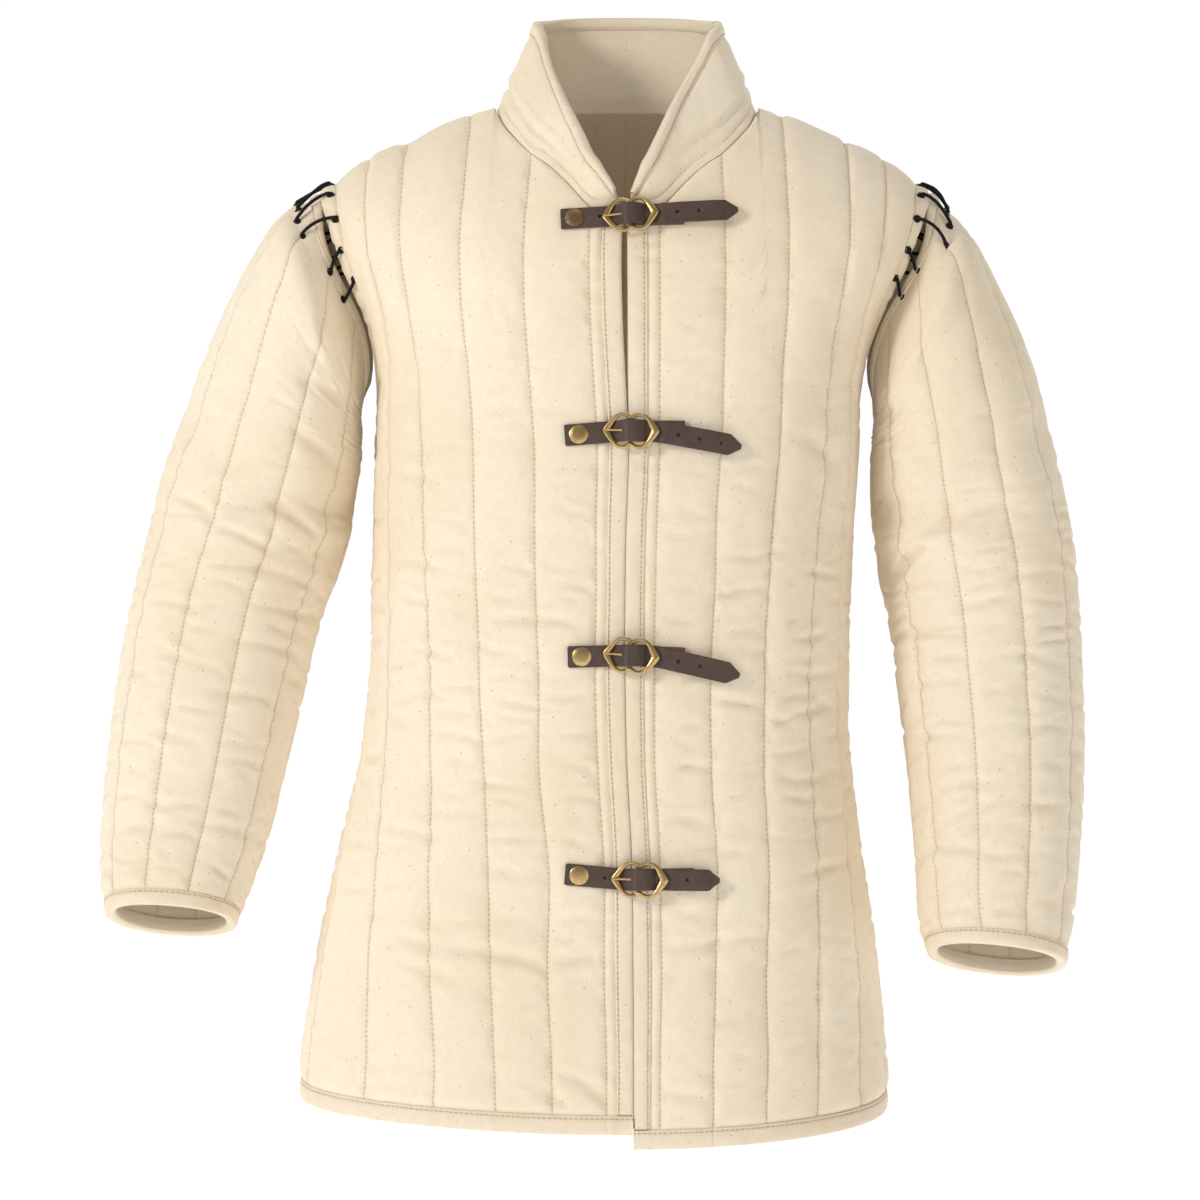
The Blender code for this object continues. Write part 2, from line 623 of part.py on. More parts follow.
def mitre_neck(outer, inner, normals, c, rise, corner):
    """Share the angle between the body and the collar along the neckline."""
    here = outer[-1, c]
    along = unit(outer[-1, c + 1] - here) if c < corner else np.array([0.0, 1.0, 0.0])
    radius = abs(here[0] - COLLAR_CENTRE_X)
    stand = np.cross(along, rise(radius))
    stand = unit(stand) * np.sign(np.dot(stand, normals[-1, c]))
    mitre = unit(normals[-1, c] + stand)
    depth = (WALL - EDGE_DIP) / max(np.dot(mitre, normals[-1, c]), 0.75)
    inner[-1, c] = here - mitre * depth


def trim_seams(outer, inner, ends, face):
    """Half the seam gap off each side of the side seam, the shoulder seam and the neckline."""
    ahead = -1 if face == "front" else 1
    for grid in (outer, inner):
        grid[:LOWER_ROWS + 2, -1, 1] += ahead * SEAM_GAP
        for c, end in enumerate(ends):
            if end == "neck":
                grid[-1, c] += unit(grid[-2, c] - grid[-1, c]) * SEAM_GAP
            if c >= ends.count("neck") - 1:
                grid[-1, c, 1] += ahead * SEAM_GAP


def build_bodies(cloth, tape):
    panels = {}
    for name, side in (("front_right", -1), ("front_left", 1)):
        panels[name] = body_panel("front", side)
    left, right = body_panel("back", -1), body_panel("back", 1)
    joined = [np.concatenate([getattr(left, part)[:, :0:-1], getattr(right, part)], axis=1)
              for part in ("outer", "inner", "normals")]
    panels["back"] = Panel(*joined, left.ends[:0:-1] + right.ends)
    made = {}
    for name, panel in panels.items():
        made[name] = make_object(name, wall(name, panel.outer, panel.inner), cloth)
        bind_hem(name, panel, tape)
    for name in ("front_right", "front_left"):
        bind_front(name, panels[name], tape)
    return panels, made


def bind_front(name, panel, tape):
    """Binding of a front edge, from just above the hem's binding to the collar."""
    lines = []
    for column in (0, 1):
        line = [grid[1:, column].copy() for grid in (panel.outer, panel.inner, panel.normals)]
        for points in line[:2]:
            points[0] += unit(points[1] - points[0]) * (SEAM_GAP + BINDING / 2)
            points[-1] += unit(points[-2] - points[-1]) * SEAM_GAP
        lines.append(line)
    make_object(name + "_edge_binding", binding_mesh(name + "_edge_binding", *lines), tape)


def bind_hem(name, panel, tape):
    """Binding of a hem, carried past the front edge to cover its corner."""
    lines = []
    for row in (0, 1):
        line = [grid[row].copy() for grid in (panel.outer, panel.inner, panel.normals)]
        if name != "back":
            for points in line[:2]:
                points[0] += unit(points[0] - points[1]) * (TAPE_GAP + BINDING)
        lines.append(line)
    make_object(name + "_hem_binding", binding_mesh(name + "_hem_binding", *lines), tape)


def build_collar(panels, cloth, tape):
    """Standing collar from the neckline's own points, side by side round the neck."""
    base_outer, base_inner, tops = [], [], []
    back = panels["back"]
    middle = back.outer.shape[1] // 2
    for name, side in (("front_right", -1), ("front_left", 1)):
        half_outer, half_inner, half_top = [], [], []
        front = panels[name]
        count = sum(end == "neck" for end in front.ends)
        for c in range(count):
            half_outer.append(front.outer[-1, c])
            half_inner.append(front.inner[-1, c])
            half_top.append(collar_free_edge("front", side, front.outer[-1, c]))
        back_ends = back.ends[middle:]
        for c in reversed(range(sum(end == "neck" for end in back_ends) - 1)):
            if c == 0 and side > 0:
                continue
            half_outer.append(back.outer[-1, middle + side * c])
            half_inner.append(back.inner[-1, middle + side * c])
            half_top.append(collar_free_edge("back", side, half_outer[-1]))
        order = 1 if side < 0 else -1
        base_outer += half_outer[::order]
        base_inner += half_inner[::order]
        tops += half_top[::order]
    base_outer, base_inner, tops = (np.array(a) for a in (base_outer, base_inner, tops))
    heights = np.linalg.norm(tops - base_outer, axis=1)
    lift = 3 * SEAM_GAP / heights
    hem = np.clip(1 - COLLAR_EDGE / heights, 0.35, 0.95)
    shares = np.stack([lift, hem * 0.35, hem * 0.7, hem, np.ones_like(hem)])
    points = base_outer + (tops - base_outer) * shares[..., None]
    normals = grid_normals(points, np.array([COLLAR_CENTRE_X, 0.0, 0.03]))
    normals[:, 0], normals[:, -1] = normals[:, 1], normals[:, -2]
    bulge = COLLAR_BULGE * np.sin(math.pi * np.clip(shares, 0, 1)) * np.minimum(1, heights / 0.05)
    outer = points + normals * bulge[..., None]
    inner = outer - normals * COLLAR_WALL
    inner[0] = base_inner + (tops - base_outer) * lift[:, None]
    made = make_object("collar", wall("collar", outer, inner), cloth)
    lines = [[grid[row] for grid in (outer, inner, normals)] for row in (-1, -2)]
    mesh = binding_mesh("collar_binding", *lines, edge_first=False, near=COLLAR_TAPE_GAP)
    make_object("collar_binding", mesh, tape)
    return made


def collar_free_edge(face, side, base):
    rows = sorted((row for row in COLLAR if row.face == face), key=lambda row: row.base_radius)
    radii = [row.base_radius for row in rows]
    radius = abs(base[0] - COLLAR_CENTRE_X)
    tops = np.array([collar_top(row, side) for row in rows])
    return np.array([float(cubic(np.array(radii), tops[:, k], radius)) for k in range(3)])


def armhole_point(side, turn):
    """Point on the body's armhole edge; turn runs from the shoulder by the front to the back."""
    face = "front" if turn <= math.pi else "back"
    quarter = turn / 2 if face == "front" else math.pi - turn / 2
    start = armhole_share(face, side)
    share = start + (1 - start) * (1 - math.cos(quarter))
    high = float(shoulder_z(ARMHOLE_TOP_RADIUS))
    z = UNDERARM_Z + (high - UNDERARM_Z) * (1 - math.sin(quarter))
    return body_point(face, side, np.array(share), np.array(z))


def sleeve_head(side, turns):
    """Upper edge of a sleeve: close to the armhole above, standing off it under the arm."""
    points = []
    for turn in turns:
        low = (1 - math.cos(turn)) / 2
        out = unit(np.array([side * 1.0, 0.0, -0.75 * (1 - low) + 0.2 * low]))
        gap = SLEEVE_TOP_GAP + (SLEEVE_UNDERARM_GAP - SLEEVE_TOP_GAP) * low ** 2
        points.append(armhole_point(side, turn) + out * gap + np.array([0.0, 0.0, 0.009 * low ** 2]))
    return np.array(points)


def sleeve_rings(name, side, turns):
    """The sleeve's upper edge and its sections, each with a point for every turn."""
    sections = SLEEVES[name]
    centres = np.array([[side * (s.outer_x + s.inner_x) / 2, s.centre_y, (s.outer_z + s.inner_z) / 2]
                        for s in sections])
    axes = unit(np.gradient(centres, axis=0))
    rings = [sleeve_head(side, turns)]
    for section, centre, axis in zip(sections, centres, axes):
        across = np.array([side * (section.outer_x - section.inner_x) / 2, 0.0,
                           (section.outer_z - section.inner_z) / 2])
        fore = unit(np.cross(across, axis))
        fore = fore if fore[1] < 0 else -fore
        c, s = np.cos(turns), np.sin(turns)
        radius = (np.abs(c) ** SLEEVE_POWER + np.abs(s) ** SLEEVE_POWER) ** (-1 / SLEEVE_POWER)
        rings.append(centre + across * (radius * c)[:, None]
                     + fore * section.half_depth * (radius * s)[:, None])
    return np.array(rings)


def sleeve_surface(name, side, turns, places):
    rings = sleeve_rings(name, side, turns)
    stations = np.arange(len(rings), dtype=float)
    flat = rings.reshape(len(rings), -1)
    made = np.array([cubic_rows(stations, flat, place) for place in places])
    return made.reshape(len(places), len(turns), 3)


def cubic_rows(xs, rows, at):
    steps = np.diff(xs)[:, None]
    rises = np.diff(rows, axis=0) / steps
    slopes = np.concatenate([rises[:1], (rises[:-1] + rises[1:]) / 2, rises[-1:]])
    i = int(np.clip(math.floor(at), 0, len(xs) - 2))
    t = at - xs[i]
    return ((1 + 2 * t) * (1 - t) ** 2 * rows[i] + t * (1 - t) ** 2 * slopes[i]
            + t * t * (3 - 2 * t) * rows[i + 1] + t * t * (t - 1) * slopes[i + 1])


def elbow_dip(places, turns):
    dip = np.zeros((len(places), len(turns)))
    for crease in ELBOW_CREASES:
        away = (turns[None, :] - math.radians(crease.turn)) / math.radians(crease.reach)
        along = (places[:, None] - crease.place - crease.slant * away) / crease.width
        dip += crease.depth * np.exp(-along ** 2 - away ** 4)
    return dip


def build_sleeve(name, side, cloth, tape):
    turns = np.arange(2 * SLEEVE_CHANNELS) * math.pi / SLEEVE_CHANNELS
    places = np.array(SLEEVE_PLACES)
    points = sleeve_surface(name, side, turns, places)
    head_seam = points[0] + unit(points[1] - points[0]) * HEAD_BINDING_WIDTH
    cuff_seam = points[-1] + unit(points[-2] - points[-1]) * CUFF_BINDING_WIDTH
    points = np.concatenate([points[:1], head_seam[None], points[1:-1], cuff_seam[None], points[-1:]])
    places = np.concatenate([[0.0, 0.3], places[1:-1], [places[-1] - 0.3, places[-1]]])
    around = (np.roll(points, -1, axis=1) - np.roll(points, 1, axis=1))
    normals = unit(np.cross(np.gradient(points, axis=0), around))
    middle = points.mean(axis=1, keepdims=True)
    if np.sum((points - middle) * normals) < 0:
        normals = -normals
    points = points - normals * elbow_dip(places, turns)[..., None]
    dip = np.tile([SLEEVE_STITCH_DIP, 0.0], SLEEVE_CHANNELS) * np.ones((len(places), 1))
    dip[[0, 1, -2, -1]] = SLEEVE_STITCH_DIP
    outer = points - normals * dip[..., None]
    inner = points - normals * SLEEVE_WALL
    node = "sleeve_" + name
    made = make_object(node, wall(node, outer, inner, closed=True), cloth)
    for end, (edge, seam) in {"cuff": (-1, -2), "head": (0, 1)}.items():
        lines = [[grid[row] for grid in (outer, inner, normals)] for row in (edge, seam)]
        mesh = binding_mesh(node + "_" + end + "_binding", *lines, closed=True,
                            edge_first=end == "head")
        binding = make_object(node + "_" + end + "_binding", mesh, tape)
    return made, binding


def tree_of(objects):
    """One search tree over the faces of several pieces."""
    vertices, polygons = [], []
    for obj in objects:
        first = len(vertices)
        vertices += [v.co.copy() for v in obj.data.vertices]
        polygons += [[first + i for i in p.vertices] for p in obj.data.polygons]
    return BVHTree.FromPolygons(vertices, polygons)


class Walls:
    """Outer faces of some walls, with the inner point that lies under each outer point."""

    def __init__(self, objects):
        self.corners = []
        for obj in objects:
            half = len(obj.data.vertices) // 2
            places = [v.co.copy() for v in obj.data.vertices]
            for p in obj.data.polygons:
                if max(p.vertices) < half:
                    self.corners.append([[places[i] for i in p.vertices],
                                         [places[i + half] for i in p.vertices]])
        outer = [corner for face, _ in self.corners for corner in face]
        self.tree = BVHTree.FromPolygons(outer, [[3 * k, 3 * k + 1, 3 * k + 2]
                                                 for k in range(len(self.corners))])

    def eyelet(self, near):
        """Outer place nearest to a point, the direction straight out of the wall, and its depth."""
        place, _, index, _ = self.tree.find_nearest(Vector(near))
        outer, inner = self.corners[index]
        under = barycentric_transform(place, *outer, *inner)
        through = place - under
        return np.array(place), np.array(through.normalized()), through.length


def lace_ends(side, body_walls, sleeve_walls, tape):
    """Where each bar of the lace goes through the body and through the sleeve, past its tape."""
    turns = np.linspace(-math.pi * 0.8, math.pi * 0.8, 241)
    edge = np.array([armhole_point(side, t % (2 * math.pi)) for t in turns])
    lengths = np.concatenate([[0.0], np.cumsum(np.linalg.norm(np.diff(edge, axis=0), axis=1))])
    lengths -= lengths[len(turns) // 2]
    bars = []
    for k in range(LACE_BARS):
        offset = ((LACE_BARS - 1) / 2 - k) * LACE_PITCH
        on_body = lace_eyelet(side, edge, lengths, offset, -BODY_EYELET_INSET, body_walls)
        for further in range(8):
            on_sleeve = lace_eyelet(side, edge, lengths, offset + LACE_SLANT - 0.003 * further,
                                    SLEEVE_EYELET_INSET + 0.001 * further, sleeve_walls)
            under = on_sleeve[0] - on_sleeve[1] * on_sleeve[2]
            if min(tape.find_nearest(Vector(p))[3] for p in (on_sleeve[0], under)) > EYELET_MARGIN:
                break
        bars.append((on_sleeve, on_body))
    return bars


def lace_eyelet(side, edge, lengths, offset, inset, walls):
    here = np.array([np.interp(offset, lengths, edge[:, k]) for k in range(3)])
    ahead = np.array([np.interp(offset + 0.004, lengths, edge[:, k]) for k in range(3)])
    along = unit(ahead - here)
    centre = np.array([side * 0.2, 0.0, -0.15])
    up = unit(here - centre - along * np.dot(here - centre, along))
    out = unit(np.cross(along, up))
    if out[0] * side < 0:
        out = -out
    return walls.eyelet(here + out * inset + up * 0.003)


def hole_cutter(name, places, radius, reach, sides=6):
    """Hidden cutter for round holes, each given by its middle and its direction."""
    bm = bmesh.new()
    for place, direction in places:
        turn = Vector(direction).to_track_quat("Z", "Y").to_matrix().to_4x4()
        bmesh.ops.create_cone(bm, cap_ends=True, segments=sides, radius1=radius, radius2=radius,
                              depth=reach, matrix=Matrix.Translation(Vector(place)) @ turn)
    mesh = bpy.data.meshes.new(name)
    bm.to_mesh(mesh)
    bm.free()
    return hidden(name, mesh)


def hidden(name, mesh):
    """Object that only shapes another one."""
    obj = bpy.data.objects.new(name, mesh)
    obj.hide_render = True
    obj.display_type = "WIRE"
    bpy.context.scene.collection.objects.link(obj)
    return obj


def cut(obj, cutter):
    modifier = obj.modifiers.new("cut_" + cutter.name, "BOOLEAN")
    modifier.operation = "DIFFERENCE"
    modifier.solver = "EXACT"
    modifier.object = cutter


def taut(start, end, out, tree):
    """Cord pulled tight between two places over whatever lies between them, on the out side."""
    chord = end - start
    length = np.linalg.norm(chord)
    along = chord / length
    out = unit(out - along * np.dot(out, along))
    across = np.cross(along, out)
    rises, falls, top = 0.0, 0.0, 0.0
    for share in np.linspace(0.08, 0.92, LACE_SAMPLES):
        for sideways in (-LACE_RADIUS, 0.0, LACE_RADIUS):
            high = start + chord * share + across * sideways + out * LACE_LOOK
            hit, _, _, _ = tree.ray_cast(Vector(high), Vector(-out), 2 * LACE_LOOK)
            if hit:
                height = np.dot(np.array(hit) - start, out) + LACE_ROOM
                top = max(top, height)
                rises = max(rises, height / (share * length))
                falls = max(falls, height / ((1 - share) * length))
    if top == 0.0:
        return [start, end]
    bends = [(top / rises, top), (length - top / falls, top)]
    if bends[0][0] > bends[1][0] - LACE_STEP:
        middle = falls * length / (rises + falls)
        bends = [(middle, rises * middle)]
    return [start, *(start + along * a + out * h for a, h in bends), end]


def build_lace(name, side, bodies, sleeve, head_binding, cord):
    """One lace: over the seam on the outside, back under the cloth to the next eyelet."""
    front = bodies["front_right" if side < 0 else "front_left"]
    both = tree_of([front, bodies["back"], sleeve, head_binding])
    bars = lace_ends(side, Walls([front, bodies["back"]]), Walls([sleeve]), tree_of([head_binding]))
    off = LACE_RADIUS + LACE_CLEAR
    holes = {}
    points = []
    for k, ((foot, foot_normal, foot_depth), (top, top_normal, top_depth)) in enumerate(bars):
        for place, normal, owner in ((foot, foot_normal, sleeve),
                                     (top, top_normal, front if top[1] < 0 else bodies["back"])):
            holes.setdefault(owner.name, []).append((place, normal))
        foot_under = foot - foot_normal * (foot_depth + LACE_ROOM)
        top_under = top - top_normal * (top_depth + LACE_ROOM)
        points += taut(under, foot_under, -unit(top_normal + foot_normal), both)[1:-1] if k else []
        points.append(foot_under)
        points += taut(foot + foot_normal * off, top + top_normal * off,
                       unit(foot_normal + top_normal), both)
        points.append(top_under)
        under = top_under
    for owner, places in holes.items():
        cutter = hole_cutter(name + "_holes_" + owner, places, EYELET_RADIUS, HOLE_REACH)
        cut(bpy.data.objects[owner], cutter)
    curve = bpy.data.curves.new(name, "CURVE")
    curve.dimensions = "3D"
    curve.bevel_depth = LACE_RADIUS
    curve.bevel_resolution = 1
    curve.use_fill_caps = True
    spline = curve.splines.new("POLY")
    spline.points.add(len(points) - 1)
    for point, place in zip(spline.points, points):
        point.co = (*(float(c) for c in place), 1.0)
    curve.materials.append(cord)
    obj = bpy.data.objects.new(name, curve)
    bpy.context.scene.collection.objects.link(obj)


class StrapFrame:
    """Place and directions of one buckle: along the strap, up, and out of the cloth."""

    def __init__(self, strap):
        step = 0.004
        x, z = strap.bar_x, strap.bar_z
        self.origin = np.array([x, front_y(x, z), z])
        across = unit(np.array([2 * step, front_y(x + step, z) - front_y(x - step, z), 0.0]))
        upward = unit(np.array([0.0, front_y(x, z + step) - front_y(x, z - step), 2 * step]))
        self.out = unit(np.cross(across, upward))
        self.along, self.up = across, unit(np.cross(self.out, across))
        self.tilt = math.radians(strap.tilt)

    def point(self, s, t, h, follow=True):
        """Local place: s along the strap, t up, h off the cloth, over the curve of the front."""
        place = self.origin + self.along * s + self.up * t
        drop = 0.0
        if follow:
            surface = np.array([place[0], front_y(place[0], place[2]), place[2]])
            drop = np.dot(surface - place, self.out)
        return place + self.out * (h + drop)

    def turned(self, s, t):
        """Turn a place of the rigid buckle by the strap's tilt."""
        c, d = math.cos(self.tilt), math.sin(self.tilt)
        return s * c - t * d, s * d + t * c


def ribbon(name, frame, stations, width, thickness, pointed=0.0):
    """Flat leather strip through stations of (along, up, height of its underside)."""
    rings = []
    places = np.array([frame.point(s, t, h) for s, t, h in stations])
    flat = np.array([[s, t] for s, t, _ in stations])
    ahead = unit(np.gradient(flat, axis=0))
    lifted = unit(np.gradient(places, axis=0))
    for (s, t, h), place, (a, b), direction in zip(stations, places, ahead, lifted):
        side = np.array([-b, a]) * width / 2
        low = frame.point(s - side[0], t - side[1], h)
        high = frame.point(s + side[0], t + side[1], h)
        normal = unit(np.cross(direction, high - low))
        normal = normal if np.dot(normal, frame.out) > 0 else -normal
        rings.append([low, high, high + normal * thickness, low + normal * thickness])
    return sweep(name, rings)


def strap_stations(strap):
    """Underside of the strap: flat, under the frame, over the bar, under the frame, free tail."""
    bar_top = BAR_HEIGHT + BAR_RADIUS + CHAPE_LEATHER + 3 * CLEAR
    lap = 2 * CHAPE_LEATHER + 4 * CLEAR
    over_rivet = lap + RIVET_HEIGHT + CLEAR
    half = FRAME_HALF_LENGTH
    profile = [
        (-strap.left, CLEAR), (-0.75 * strap.left, CLEAR), (-half - 0.004, CLEAR), (-half + 0.005, CLEAR),
        (-0.0115, 0.0014), (-0.0070, 0.0052), (-0.0030, bar_top), (0.0030, bar_top),
        (0.0075, 0.0068), (0.0112, lap + 0.0001), (half, lap), (half + 0.006, over_rivet),
        (0.0400, over_rivet), (0.6 * strap.tail + 0.4 * 0.04, over_rivet),
        (strap.tail - TAIL_POINT, over_rivet - 0.001), (strap.tail, over_rivet - 0.002),
    ]
    stations = []
    for s, h in profile:
        reach = abs(s) / (strap.tail if s > 0 else strap.left)
        rise = (strap.tail_rise if s > 0 else strap.left_rise) * max(0.0, reach - 0.2) / 0.8
        stations.append((s, rise, h))
    return stations


def build_strap(key, strap, leather, brass):
    frame = StrapFrame(strap)
    node = "strap_" + key
    stations = strap_stations(strap)
    body_part = make_object(node, ribbon(node, frame, stations, STRAP_WIDTH, LEATHER), leather)
    taper_tail(body_part, frame, strap, stations)
    holes = []
    for s in hole_places(strap):
        t, h = (float(np.interp(s, *zip(*[(p[0], p[k]) for p in stations]))) for k in (1, 2))
        holes.append((frame.point(s, t, h + LEATHER / 2), frame.out))
    cut(body_part, hole_cutter(node + "_holes", holes, HOLE_RADIUS, 4 * LEATHER))
    prong_path = prong_places(frame)
    prong = sweep(node + "_prong", square_rings(prong_path, frame, PRONG_WIRE))
    make_object(node + "_prong", prong, brass)
    slot = sweep(node + "_slot", square_rings(prong_path[6:], frame, PRONG_WIRE + 0.0004))
    cut(body_part, hidden(node + "_slot", slot))
    build_buckle(node + "_buckle", frame, brass)
    build_chape(node + "_chape", frame, leather)
    at = -strap.left + RIVET_INSET
    rise = float(np.interp(at, *zip(*[(p[0], p[1]) for p in stations])))
    rivet(node + "_rivet", frame, at, rise, LEATHER + 2 * CLEAR, RIVET_RADIUS, brass)
    rivet(node + "_chape_rivet", frame, CHAPE_RIVET, 0.0, 2 * CHAPE_LEATHER + 4 * CLEAR,
          CHAPE_RIVET_RADIUS, brass)


def taper_tail(obj, frame, strap, stations):
    """Cut the free end to a point with two slanting corners."""
    mesh = obj.data
    tip = [v for v in mesh.vertices][-4:]
    _, rise, height = stations[-1]
    for v in tip:
        centre = frame.point(strap.tail, rise, height)
        offset = np.array(v.co) - centre
        upward = np.dot(offset, frame.up)
        v.co = Vector(np.array(v.co) - frame.up * upward * 0.80)


def hole_places(strap):
    places = [-strap.left + 0.030]
    s = 0.0360
    while s < strap.tail - 0.014:
        places.append(s)
        s += HOLE_PITCH
    return places


def prong_places(frame):
    """Prong: hooked round the bar, through the strap and onto the frame's left tip."""
    radius = BAR_RADIUS + CLEAR + PRONG_WIRE
    places = []
    for degrees in (-150, -110, -70, -30, 10, 50, 90):
        a = math.radians(degrees)
        places.append((radius * math.cos(a), BAR_HEIGHT + radius * math.sin(a)))
    tip = FRAME_LEFT_HEIGHT + FRAME_WIRE + CLEAR + PRONG_WIRE
    places += [(-0.006, BAR_HEIGHT + radius - 0.0004), (-FRAME_HALF_LENGTH + 0.002, tip),
               (-FRAME_HALF_LENGTH - 0.0012, tip)]
    return places


def square_rings(places, frame, half):
    """Square section along a path of (along, height), turned with the buckle."""
    flat = np.array(places)
    ahead = unit(np.gradient(flat, axis=0))
    rings = []
    for (s, h), (a, b) in zip(flat, ahead):
        ring = []
        for along, width in ((-1, -1), (1, -1), (1, 1), (-1, 1)):
            ss, hh = s - b * half * along, h + a * half * along
            x, y = frame.turned(ss, width * half)
            ring.append(frame.point(x, y, hh, follow=False))
        rings.append(ring)
    return rings


def frame_outline():
    """Outline of the double heart: a round loop each side of the pinched bar, drawn to a tip."""
    corners = [
        (0.0, BAR_HALF), (0.0030, 0.0119), (0.0070, 0.0126), (0.0110, 0.0114), (0.0150, 0.0074),
        (0.0185, 0.0030), (0.0200, 0.0),
    ]
    quarter = [(s, t) for s, t in corners]
    lower = [(s, -t) for s, t in reversed(quarter[:-1])]
    right = quarter + lower
    left = [(-s, t) for s, t in reversed(right[1:-1])]
    return right + left


def build_buckle(name, frame, brass):
    """Cast frame with its middle bar in one piece."""
    outline = frame_outline()
    flat = np.array(outline)
    ahead = unit(np.roll(flat, -1, axis=0) - np.roll(flat, 1, axis=0))
    rings = []
    for (s, t), (a, b) in zip(flat, ahead):
        height = BAR_HEIGHT + (FRAME_RIGHT_HEIGHT - BAR_HEIGHT) * s / FRAME_HALF_LENGTH
        ring = []
        for turn in range(FRAME_SIDES):
            angle = 2 * math.pi * (turn + 0.5) / FRAME_SIDES
            out, up = FRAME_WIRE * 1.25 * math.cos(angle), FRAME_WIRE * math.sin(angle)
            x, y = frame.turned(s + b * out, t - a * out)
            ring.append(frame.point(x, y, height + up, follow=False))
        rings.append(ring)
    obj = make_object(name, sweep(name, rings, closed=True), brass)
    rings = []
    for t in (-BAR_HALF, BAR_HALF):
        ring = []
        for turn in range(8):
            angle = 2 * math.pi * turn / 8
            x, y = frame.turned(BAR_RADIUS * math.cos(angle), t)
            ring.append(frame.point(x, y, BAR_HEIGHT + BAR_RADIUS * math.sin(angle), follow=False))
        rings.append(ring)
    bar = hidden(name + "_bar", sweep(name + "_bar", rings))
    join = obj.modifiers.new("bar", "BOOLEAN")
    join.operation = "UNION"
    join.solver = "EXACT"
    join.object = bar


def chape_places():
    """Path of the chape's leather: along the cloth, round the bar and back over itself."""
    half = CHAPE_LEATHER / 2
    radius = BAR_RADIUS + CLEAR + half
    places = [(CHAPE_LENGTH, CLEAR + half), (0.0120, CLEAR + half),
              (0.0060, 0.0014 + half), (0.0030, 0.0028)]
    for degrees in (-75, -110, -145, -180, -215, -250):
        a = math.radians(degrees)
        places.append((radius * math.cos(a), BAR_HEIGHT + radius * math.sin(a)))
    upper = 2 * CLEAR + 1.5 * CHAPE_LEATHER
    places += [(0.0020, BAR_HEIGHT + radius - 0.0004), (0.0070, 0.0046), (0.0120, upper + 0.0002),
               (0.0160, upper), (CHAPE_LENGTH, upper)]
    return places


def build_chape(name, frame, leather):
    flat = np.array(chape_places())
    ahead = unit(np.gradient(flat, axis=0))
    half = CHAPE_LEATHER / 2
    rings = []
    for (s, h), (a, b) in zip(flat, ahead):
        ring = []
        for along, width in ((-1, -1), (1, -1), (1, 1), (-1, 1)):
            ss, hh = s - b * half * along, h + a * half * along
            x, y = frame.turned(ss, width * CHAPE_WIDTH / 2)
            ring.append(frame.point(x, y, hh))
        rings.append(ring)
    obj = make_object(name, sweep(name, rings), leather)
    low, high = [], []
    for s, t in ((-0.0045, -0.0013), (0.0042, -0.0013), (0.0042, 0.0013), (-0.0045, 0.0013)):
        x, y = frame.turned(s, t)
        low.append(frame.point(x, y, 0.0004, follow=False))
        high.append(frame.point(x, y, 0.0110, follow=False))
    cut(obj, hidden(name + "_slot", sweep(name + "_slot", [low, high])))


def rivet(name, frame, s, t, height, radius, brass):
    """Domed rivet cap that stands just off the leather."""
    centre = frame.point(s, t, height)
    side = frame.point(s, t + 0.004, height)
    ahead = frame.point(s + 0.004, t, height)
    up, along = unit(side - centre), unit(ahead - centre)
    out = unit(np.cross(along, up))
    rings = []
    for share, rise in ((1.0, 0.0), (1.0, 0.35), (0.75, 0.8), (0.35, 1.0)):
        ring = []
        for k in range(RIVET_SIDES):
            a = 2 * math.pi * k / RIVET_SIDES
            ring.append(centre + radius * share * (along * math.cos(a) + up * math.sin(a))
                        + out * RIVET_HEIGHT * rise)
        rings.append(ring)
    make_object(name, sweep(name, rings, smooth_angle=35.0), brass)


def main():
    for obj in list(bpy.data.objects):
        bpy.data.objects.remove(obj, do_unlink=True)
    cloth = material("undyed_cotton", COTTON, 0.85, 0.0)
    tape = material("binding_tape", TAPE, 0.85, 0.0)
    leather = material("brown_leather", BROWN_LEATHER, 0.5, 0.0)
    brass = material("antique_brass", BRASS, 0.35, 1.0)
    cord = material("black_cord", BLACK_CORD, 0.7, 0.0)
    panels, bodies = build_bodies(cloth, tape)
    build_collar(panels, cloth, tape)
    for name, side in (("right", -1), ("left", 1)):
        sleeve, head_binding = build_sleeve(name, side, cloth, tape)
        build_lace("lace_" + name, side, bodies, sleeve, head_binding, cord)
    for key, strap in STRAPS.items():
        build_strap(key, strap, leather, brass)


def material(name, colour, roughness, metallic):
    made = bpy.data.materials.new(name)
    made.use_nodes = True
    shader = made.node_tree.nodes["Principled BSDF"]
    shader.inputs["Base Color"].default_value = (*colour, 1.0)
    shader.inputs["Roughness"].default_value = roughness
    shader.inputs["Metallic"].default_value = metallic
    made.diffuse_color = (*colour, 1.0)
    return made


main()
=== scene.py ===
"""Looks of the quilted jacket: fine quilted cloth, bindings, lacing, straps and studio.

Metres, +Z up, front towards -Y. Sides are the wearer's own: the wearer's right is at -X.
"""
import json
import math
from collections import namedtuple
from functools import lru_cache

import bmesh
import bpy
import numpy as np
from bpy.props import FloatProperty, IntProperty, PointerProperty
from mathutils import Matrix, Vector
from mathutils.bvhtree import BVHTree

